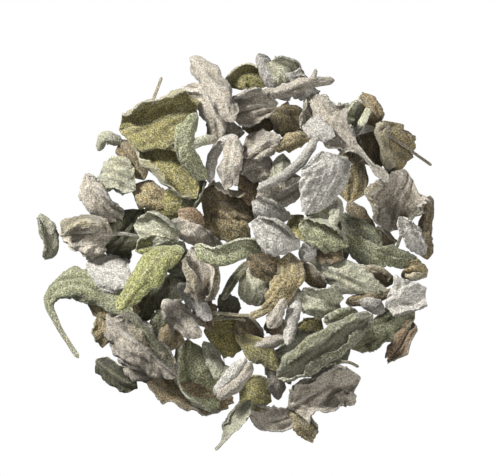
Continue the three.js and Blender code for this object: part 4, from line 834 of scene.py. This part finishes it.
# How strongly each kind of leaf creases and crumples: the grey felted ones most, the lime green ones least.
CREASING = {"olive": 0.55, "green": 0.75, "lime": 0.5, "sage": 0.85, "grey": 1.15, "lilac": 0.6,
            "tan": 0.9, "brown": 0.9, "russet": 0.8, "dark": 0.8}


def folds(tint, s, t, v, number):
    """Height of the folds of a blade in mm, at s along and t across it, and at v of its half width.

    It is the sum of bulges between side veins, uneven spots, frills at the margin, creases with sharp
    bottoms, and crumples that fall away from scattered points. Creases and crumples follow wandering lines.
    """
    between_veins = (s - SIDE_VEIN_SLANT * np.abs(t)) / SIDE_VEIN_PITCH + 0.5 * (t > 0) + number
    quilt = QUILT_HEIGHT * np.cos(2 * np.pi * between_veins) * np.clip(np.abs(t) / QUILT_START, 0, 1)
    spots = wave(SPOTS_ALONG, s, number) * wave(SPOTS_ACROSS, t, 2 * number)
    frill_turn = 2 * np.pi * s / FRILL_PITCH + FRILL_SHIFT * np.sign(v) + number
    frill = FRILL_DEPTH * np.abs(v) ** 3 * np.sin(frill_turn)
    wander = t + wave(LONG_BEND, s, number) + wave(SHORT_BEND, s, 2 * number)
    wander = wander + wave(CROSS_BEND, t, number) + LEAF_SHIFT * number
    sharp = np.abs(np.sin(np.pi * wander / CREASE_PITCH)) ** CREASE_POWER
    crease = CREASE_DEPTH * (2 * sharp - CREASE_LEVEL)
    place = s / CRUMPLE_LENGTH + CRUMPLE_SHIFT * number
    nearest, _ = worley(place, wander / CRUMPLE_WIDTH, number + CRUMPLE_SEED)
    crumple = CRUMPLE_DEPTH * (CRUMPLE_LEVEL - np.minimum(nearest, 1))
    return quilt + spots + frill + CREASING[tint] * (crease + crumple)


sample = folds("grey", *np.meshgrid(np.linspace(0, 30, 300), np.linspace(-5, 5, 100)), 0.5, 1)
print("folds of a grey leaf reach from", round(sample.min(), 2), "to", round(sample.max(), 2), "mm")

# %% Margins and edges
BREAK_PITCH = 3.4
BREAK_DEPTH = 0.34
BREAK_GAIN = 1.5
BREAK_START = 0.55
OVERHANG = 0.15
EDGE_RADIUS = 0.3
THINNEST_EDGE = 0.04
STEP = 0.37
RIM_STEPS = (0.28, 0.12, 0.04)


def fine_axis(count, size):
    """Places from 0 to 1 in one direction, closer together at both ends, so that edges come out round."""
    inner = np.linspace(0, 1, count)[1:-1]
    edge = np.array([0, *sorted(step / size for step in RIM_STEPS)])
    return np.unique(np.concatenate([edge, inner[(inner > edge[-1]) & (inner < 1 - edge[-1])], 1 - edge]))


def broken_margin(s, hand, number):
    """Share of the half blade that is left at s along a margin: straight lines between random depths, cut
    off at the overhang of a whole margin and at the deepest break."""
    place = s / BREAK_PITCH
    start = np.floor(place)
    here, there = (scatter(start + step, hand + 4.0, number) for step in (0, 1))
    bite = np.clip(BREAK_GAIN * (here + (there - here) * (place - start)) - BREAK_START, 0, 1)
    return 1 + OVERHANG - BREAK_DEPTH * bite


def rounding(inset):
    """Share of the thickness left at a distance in mm from an edge: a quarter circle."""
    return np.sqrt(np.clip(1 - (1 - np.clip(inset / EDGE_RADIUS, 0, 1)) ** 2, THINNEST_EDGE, 1))


print("a leaf 10 mm wide has", len(fine_axis(int(10 / STEP), 10)), "points across")

# %% [markdown]
# ## A fine leaf
# The blade is a sheet with two faces that meet in a round edge. A sheet thickened by a modifier would have
# the same relief on both faces. Here each face has its own, sunk veins and raised cells above and raised
# veins below, and together they are one closed tube. Marks on its points tell the material where veins, rims,
# felt and hollows are, and how much painted shade the hollows and the leaf's depth in the heap get.

# %% The closed tube
def both_faces(over, under):
    """Values across the upper face of a leaf and back under the lower one."""
    return np.concatenate([over, under[:, ::-1]], axis=1)


def tube_faces(rings, around):
    """Four-cornered faces between rings of points, and the strips that close the first and last ring."""
    index = np.arange(rings * around).reshape(rings, around)
    following = np.roll(index, -1, axis=1)
    walls = np.stack([index[:-1], following[:-1], following[1:], index[1:]], axis=-1).reshape(-1, 4)
    first, last = index[0], index[-1]
    left = np.arange(around // 2 - 1)
    right = left + 1
    under_left, under_right = around - 1 - left, around - 1 - right
    base = np.stack([first[left], first[under_left], first[under_right], first[right]], axis=-1)
    tip = np.stack([last[left], last[right], last[under_right], last[under_left]], axis=-1)
    return np.concatenate([walls, base, tip])


print("a tube of 5 rings with 8 points has", len(tube_faces(5, 8)), "faces")

# %% Relief, lie and tone
# Heights in mm of the midrib, side veins, coarse net, fine net and bulges on either face, and how
# strongly the first four are marked as veins.
UPPER_RELIEF = (-0.2, -0.13, -0.12, -0.07, 0.12)
UNDER_RELIEF = (0.3, 0.15, 0.1, 0.06, 0.0)
VEIN_MARKS = (1.0, 0.8, 0.6, 0.45)
# Which face the leaves of a tint turn up. The pale ones show their felt.
FACE_UP = {tint: "under" if tint in ("sage", "grey", "lilac") else "upper" for tint in CREASING}
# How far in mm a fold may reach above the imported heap.
HEADROOM = 0.4
# Painted shade by depth in the heap: the tone of the lowest leaf, and how much lighter the top one is. Then
# the spread of each leaf's own tone.
DEEPEST_SHADE = -0.5
SHADE_FADE = 0.9
TONE_SPREAD = 0.7


def relief(heights, net):
    """Height of a face in mm: each part of the vein net times its own height."""
    return sum(height * part for height, part in zip(heights, net))


def lay_down(item, above, below):
    """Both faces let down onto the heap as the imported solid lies, and kept between the table and just over
    the height of the heap."""
    faces = np.stack([above, below]) - (*MIDDLE, 0)
    lift, slope_x, slope_y = lies[item["name"]][1]
    faces[..., 2] += lift + slope_x * faces[..., 0] + slope_y * faces[..., 1]
    sunk = np.maximum(0, -faces[..., 2].min(axis=0))
    raised = np.maximum(0, faces[..., 2].max(axis=0) - CAD_BOX[1][2] / MM - HEADROOM)
    faces[..., 2] += sunk - raised
    return faces


def shade_and_tone_of(number):
    """Brightness of a leaf: painted shade that is deepest for the lowest leaf and fades towards the top, and
    each one differs a little.
    """
    chance = scatter(np.float64(number), 3.0, 2.0) - 0.5
    return DEEPEST_SHADE + SHADE_FADE * (number / len(LEAVES)) + TONE_SPREAD * chance


print("tones from", round(shade_and_tone_of(0), 2), "to", round(shade_and_tone_of(len(LEAVES) - 1), 2))

# %% Build a fine leaf
# The solids are thicker than real leaves: this much comes off in mm, and stalks keep this share of it.
THINNED = 0.22
SLIM_STALK = 0.7
# An arched leaf is longer than it looks, and even the smallest has this many points along and across.
ARCH_ALLOWANCE = 1.1
FEWEST_ALONG = 12
FEWEST_ACROSS = 9
TOOTH_LENGTH = 1.5
TOOTH_DEPTH = 0.12
TOOTH_POWER = 12
RIM_WIDTH = 0.35
END_RIM_WIDTH = 0.3
END_RIM_STRENGTH = 0.7
HOLLOW_DEPTH = 0.5


def fine_leaf(item, number):
    """Points, faces, marks and flat map of a leaf: its middle surface, moved along its normal by the folds
    and pulled in between the teeth, with half the thickness and a relief on either side."""
    length = spine_length(item)
    widest = 2 * item["widths"].max() * flat_share(item)
    u = fine_axis(max(int(length * ARCH_ALLOWANCE / STEP), FEWEST_ALONG), length)[:, None]
    v = 1 - 2 * fine_axis(max(int(widest / STEP), FEWEST_ACROSS), widest)[None, :]
    blade = blade_share(item, u)
    v = v * (1 + (broken_margin(u * length, np.sign(v), number) - 1) * blade * np.abs(v))
    point, normal, half = middle(item, u, v)
    s, t = u * length + 0 * v, v * half
    from_margin = (np.where(v > 0, v[:, :1], -v[:, -1:]) - np.abs(v)) * half
    from_end = np.minimum(u, 1 - u) * length

    fold = folds(item["tint"], s, t, v, number) * blade
    teeth = np.abs(np.sin(np.pi * s / TOOTH_LENGTH + number)) * TOOTH_DEPTH * blade
    inward = unit(np.gradient(point, axis=1)) * (np.sign(v) * np.abs(v) ** TOOTH_POWER * teeth)[..., None]
    slim = SLIM_STALK + (1 - SLIM_STALK) * blade
    spine = along(item["spine"], u)
    point = spine + (point - spine) * slim[..., None] + normal * fold[..., None] + inward

    net = vein_net(s, t, length, number)
    upper_up = FACE_UP[item["tint"]] == "upper"
    reliefs = [relief(heights, net) * blade for heights in (UPPER_RELIEF, UNDER_RELIEF)]
    top, bottom = reliefs if upper_up else reversed(reliefs)
    edge = rounding(from_margin) * rounding(from_end)
    body = (thickness_at(item, u) - THINNED) / 2 * slim
    above = point + normal * ((body + top) * edge)[..., None]
    below = point - normal * ((body + bottom) * edge)[..., None]
    grid = both_faces(*lay_down(item, above, below))

    vein = np.maximum.reduce([strength * part for strength, part in zip(VEIN_MARKS, net)])
    rim = np.maximum(ridge(from_margin, RIM_WIDTH), END_RIM_STRENGTH * ridge(from_end, END_RIM_WIDTH))
    # Painted shade in the hollows of the folds: full where a fold sinks this deep on the upper face, and
    # where it rises on the lower face.
    hollow_shade = np.clip(-fold / HOLLOW_DEPTH, 0, 1)
    hollow_shade_below = np.clip(fold / HOLLOW_DEPTH, 0, 1)
    none = np.zeros_like(s)
    marks = {
        "felt": both_faces(none + (not upper_up), none + upper_up),
        "vein": both_faces(vein, vein),
        "rim": both_faces(rim, rim),
        # tone: painted shade by depth in the heap, with each leaf's own tone added.
        "tone": both_faces(none, none) + shade_and_tone_of(number) + item["tone"],
        "hollow_shade": both_faces(hollow_shade, hollow_shade_below),
        "stalk": both_faces(none + 1 - blade, none + 1 - blade),
    }
    flat_map = np.stack([both_faces(s, s), both_faces(t, t)], axis=-1)
    return grid * MM, tube_faces(*grid.shape[:2]), marks, flat_map


trial = fine_leaf(LEAVES[0], 0)
print("the first leaf is", (np.ptp(trial[0], axis=(0, 1)) / MM).round(1), "mm")

# %% [markdown]
# ## The colours of the leaves
# Dried sage is green only where the felt is thin. The felt is thickest below, on veins and at rims, and makes
# them pale grey, and old blots and brown leaves break up the green. A photograph could be laid over the
# leaves, but it would bring its own shadows. So the colours are mixed from the marks and from noise, with
# painted shade in the pits, in the hollows of the folds and on the leaves that lie low in the heap. The pits
# between the pebbles are dark dots of painted shade in a pale net: the middles of the cells of a Voronoi
# pattern.

# %% Colours of the leaves
# For each tint the upper side and the felted underside.
TINTS = {
    "olive": ("#a2995b", "#b2ab80"),
    "green": ("#9b9e79", "#afb191"),
    "lime": ("#9d9f60", "#b6b688"),
    "sage": ("#94957a", "#b3b298"),
    "grey": ("#948970", "#b4a997"),
    "lilac": ("#a59f90", "#c1bcb3"),
    "tan": ("#b3a072", "#c0b492"),
    "brown": ("#8f7a57", "#a59575"),
    "russet": ("#a38463", "#b8a487"),
    # The dark tint is painted shade: the colour of leaves that lie in shadow deep in the heap.
    "dark": ("#4d4f2b", "#6c6b4c"),
}
# Stain of old blots and colour of the thickest felt, on the green and brown leaves and on the grey ones.
WARM_FELT = ("#8f855e", "#d0cbb8")
COOL_FELT = ("#8d857a", "#d3cec4")
GREY_BLOT = "#9b9b94"
STALK = "#a29c8c"
# Colours of the painted shade in the pits between the pebbles and in the hollows of the folds.
PIT_SHADE = "#3d3b22"
HOLLOW_SHADE = "#48432c"
print("tints:", ", ".join(TINTS))

# %% The leaf material
# Size of the flat map, pitch of the pits, how far noise moves them and how wide its blots are, all in mm.
MAP_SIZE = 50.0
PIT_PITCH = 0.6
PIT_BEND = 0.7
PIT_BEND_SIZE = 1.1


def sage_material(tint):
    """Dried sage leaf: matte, darker and greener above, with pale felt below, on veins and at rims."""
    upper, under = TINTS[tint]
    stain, pale_felt = COOL_FELT if tint in ("grey", "lilac") else WARM_FELT
    material = bpy.data.materials.new(f"dried sage leaf, {tint}")
    material.use_nodes = True
    tree = material.node_tree
    tree.nodes.clear()
    mark = {name: add_node(tree, "ShaderNodeAttribute", attribute_name=name).outputs["Fac"]
            for name in ("felt", "vein", "rim", "tone", "stalk", "hollow_shade")}
    place = add_node(tree, "ShaderNodeTexCoord").outputs["Object"]

    def noise(size, detail, vector=place, unit_size=MM):
        """Noise with blots about size mm wide. A millimetre is unit_size long in the vector."""
        inputs = {"Vector": vector, "Scale": 1 / (size * unit_size), "Detail": detail}
        return add_node(tree, "ShaderNodeTexNoise", inputs)

    def blend(factor, a, b):
        """Colour a turned to colour b by a factor."""
        return add_node(tree, "ShaderNodeMix", {0: factor, 6: a, 7: b}, data_type="RGBA").outputs[2]

    def scaled(value, low, high, to_low=0.0, to_high=1.0):
        """A value carried from one range to another, held at its ends."""
        inputs = {"Value": value, "From Min": low, "From Max": high, "To Min": to_low, "To Max": to_high}
        return add_node(tree, "ShaderNodeMapRange", inputs).outputs[0]

    def times(a, b):
        """Product of two values."""
        return add_node(tree, "ShaderNodeMath", {0: a, 1: b}, operation="MULTIPLY").outputs[0]

    def vector_node(operation, inputs):
        """A step of vector arithmetic."""
        return add_node(tree, "ShaderNodeVectorMath", inputs, operation=operation).outputs[0]

    # Pits on the flattened leaf: 1 in the middle of each cell, and 0 half a pitch away. They sink the bump
    # and get painted shade.
    flat = add_node(tree, "ShaderNodeUVMap", uv_map="flat_leaf").outputs[0]
    shift = noise(PIT_BEND_SIZE, 1.0, flat, 1 / MAP_SIZE).outputs[1]
    shift = vector_node("SCALE", {0: shift, "Scale": PIT_BEND / MAP_SIZE})
    flat = vector_node("ADD", {0: flat, 1: shift})
    cells = add_node(tree, "ShaderNodeTexVoronoi",
                     {"Vector": flat, "Scale": MAP_SIZE / PIT_PITCH, "Randomness": 0.8},
                     voronoi_dimensions="2D", feature="F1").outputs["Distance"]
    pit = scaled(cells, 0.12, 0.5, 1.0, 0.0)
    blots = noise(7.0, 3.0).outputs["Fac"]
    specks = noise(0.5, 2.0).outputs["Fac"]

    # The blade and its blots, then the pale felt on veins and rims, then painted shade in the pits and in the
    # hollows of the folds.
    colour = blend(mark["felt"], linear(upper), linear(under))
    colour = blend(scaled(blots, 0.5, 0.75, 0.0, 0.4), colour, linear(stain))
    colour = blend(scaled(blots, 0.45, 0.25, 0.0, 0.35), colour, linear(GREY_BLOT))
    pale = times(mark["vein"], scaled(mark["felt"], 0.0, 1.0, 0.6, 1.0))
    colour = blend(scaled(pale, 0.15, 0.9, 0.0, 0.55), colour, linear(pale_felt))
    colour = blend(scaled(mark["rim"], 0.2, 0.9, 0.0, 0.5), colour, linear(pale_felt))
    colour = blend(scaled(mark["stalk"], 0.3, 1.0, 0.0, 0.5), colour, linear(STALK))
    colour = blend(times(pit, scaled(mark["felt"], 0.0, 1.0, 0.8, 0.34)), colour, linear(PIT_SHADE))
    colour = blend(scaled(mark["hollow_shade"], 0.15, 1.0, 0.0, 0.6), colour, linear(HOLLOW_SHADE))
    # Brightness: fine specks, times the tone mark, which is painted shade by depth in the heap plus each
    # leaf's own tone.
    bright = times(scaled(specks, 0.35, 0.65, 0.58, 1.4), scaled(mark["tone"], -1.0, 1.0, 0.52, 1.18))
    colour = vector_node("SCALE", {0: colour, "Scale": bright})

    # Matte felt: rough, with a sheen at grazing angles, and hairs finer than the mesh as a bump.
    pits = add_node(tree, "ShaderNodeBump", {"Height": pit, "Strength": 0.8, "Distance": 0.12 * MM},
                    invert=True)
    hairs = noise(0.16, 1.0).outputs["Fac"]
    bump = add_node(tree, "ShaderNodeBump", {"Height": hairs, "Strength": 0.4, "Distance": 0.1 * MM,
                                             "Normal": pits.outputs[0]})
    surface = add_node(tree, "ShaderNodeBsdfPrincipled", {
        "Base Color": colour,
        "Roughness": 0.92,
        "IOR": 1.4,
        "Specular IOR Level": 0.25,
        "Sheen Weight": 0.35,
        "Sheen Roughness": 0.6,
        "Normal": bump.outputs[0],
    })
    add_node(tree, "ShaderNodeOutputMaterial", {"Surface": surface.outputs[0]})
    return material


MATERIALS = {tint: sage_material(tint) for tint in TINTS}
print("leaf materials:", len(MATERIALS))

# %% [markdown]
# ## The heap
# Each fine leaf becomes one object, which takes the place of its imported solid. All could be one mesh, but
# then no leaf could be picked out or coloured alone. The heap lies still, so every leaf rides on the one
# body of the bunch. The flat map lays each leaf out along its own length and width, so pits follow curls.

# %% Put every leaf in its place
def make_piece(item, number):
    """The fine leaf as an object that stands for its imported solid. Gives its number of triangles."""
    vertices, faces, marks, flat_map = fine_leaf(item, number)
    mesh = bpy.data.meshes.new(item["name"] + "_fine")
    mesh.vertices.add(vertices.shape[0] * vertices.shape[1])
    mesh.vertices.foreach_set("co", vertices.astype(np.float32).ravel())
    mesh.loops.add(faces.size)
    mesh.loops.foreach_set("vertex_index", faces.astype(np.int32).ravel())
    mesh.polygons.add(len(faces))
    mesh.polygons.foreach_set("loop_start", np.arange(0, faces.size, 4, dtype=np.int32))
    mesh.update(calc_edges=True)
    mesh.polygons.foreach_set("use_smooth", np.ones(len(faces), dtype=bool))
    for name, values in marks.items():
        attribute = mesh.attributes.new(name, "FLOAT", "POINT")
        attribute.data.foreach_set("value", values.astype(np.float32).ravel())
    corner_map = flat_map.reshape(-1, 2)[faces.ravel()] / MAP_SIZE
    mesh.uv_layers.new(name="flat_leaf").data.foreach_set("uv", corner_map.astype(np.float32).ravel())
    mesh.materials.append(MATERIALS[item["tint"]])
    piece = bpy.data.objects.new(item["name"] + "_fine", mesh)
    bpy.context.collection.objects.link(piece)
    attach(piece, "root")
    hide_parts(lies[item["name"]][0])
    return len(faces) * 2


triangles = [make_piece(item, number) for number, item in enumerate(LEAVES)]
print("triangles:", sum(triangles), "largest leaf:", max(triangles))
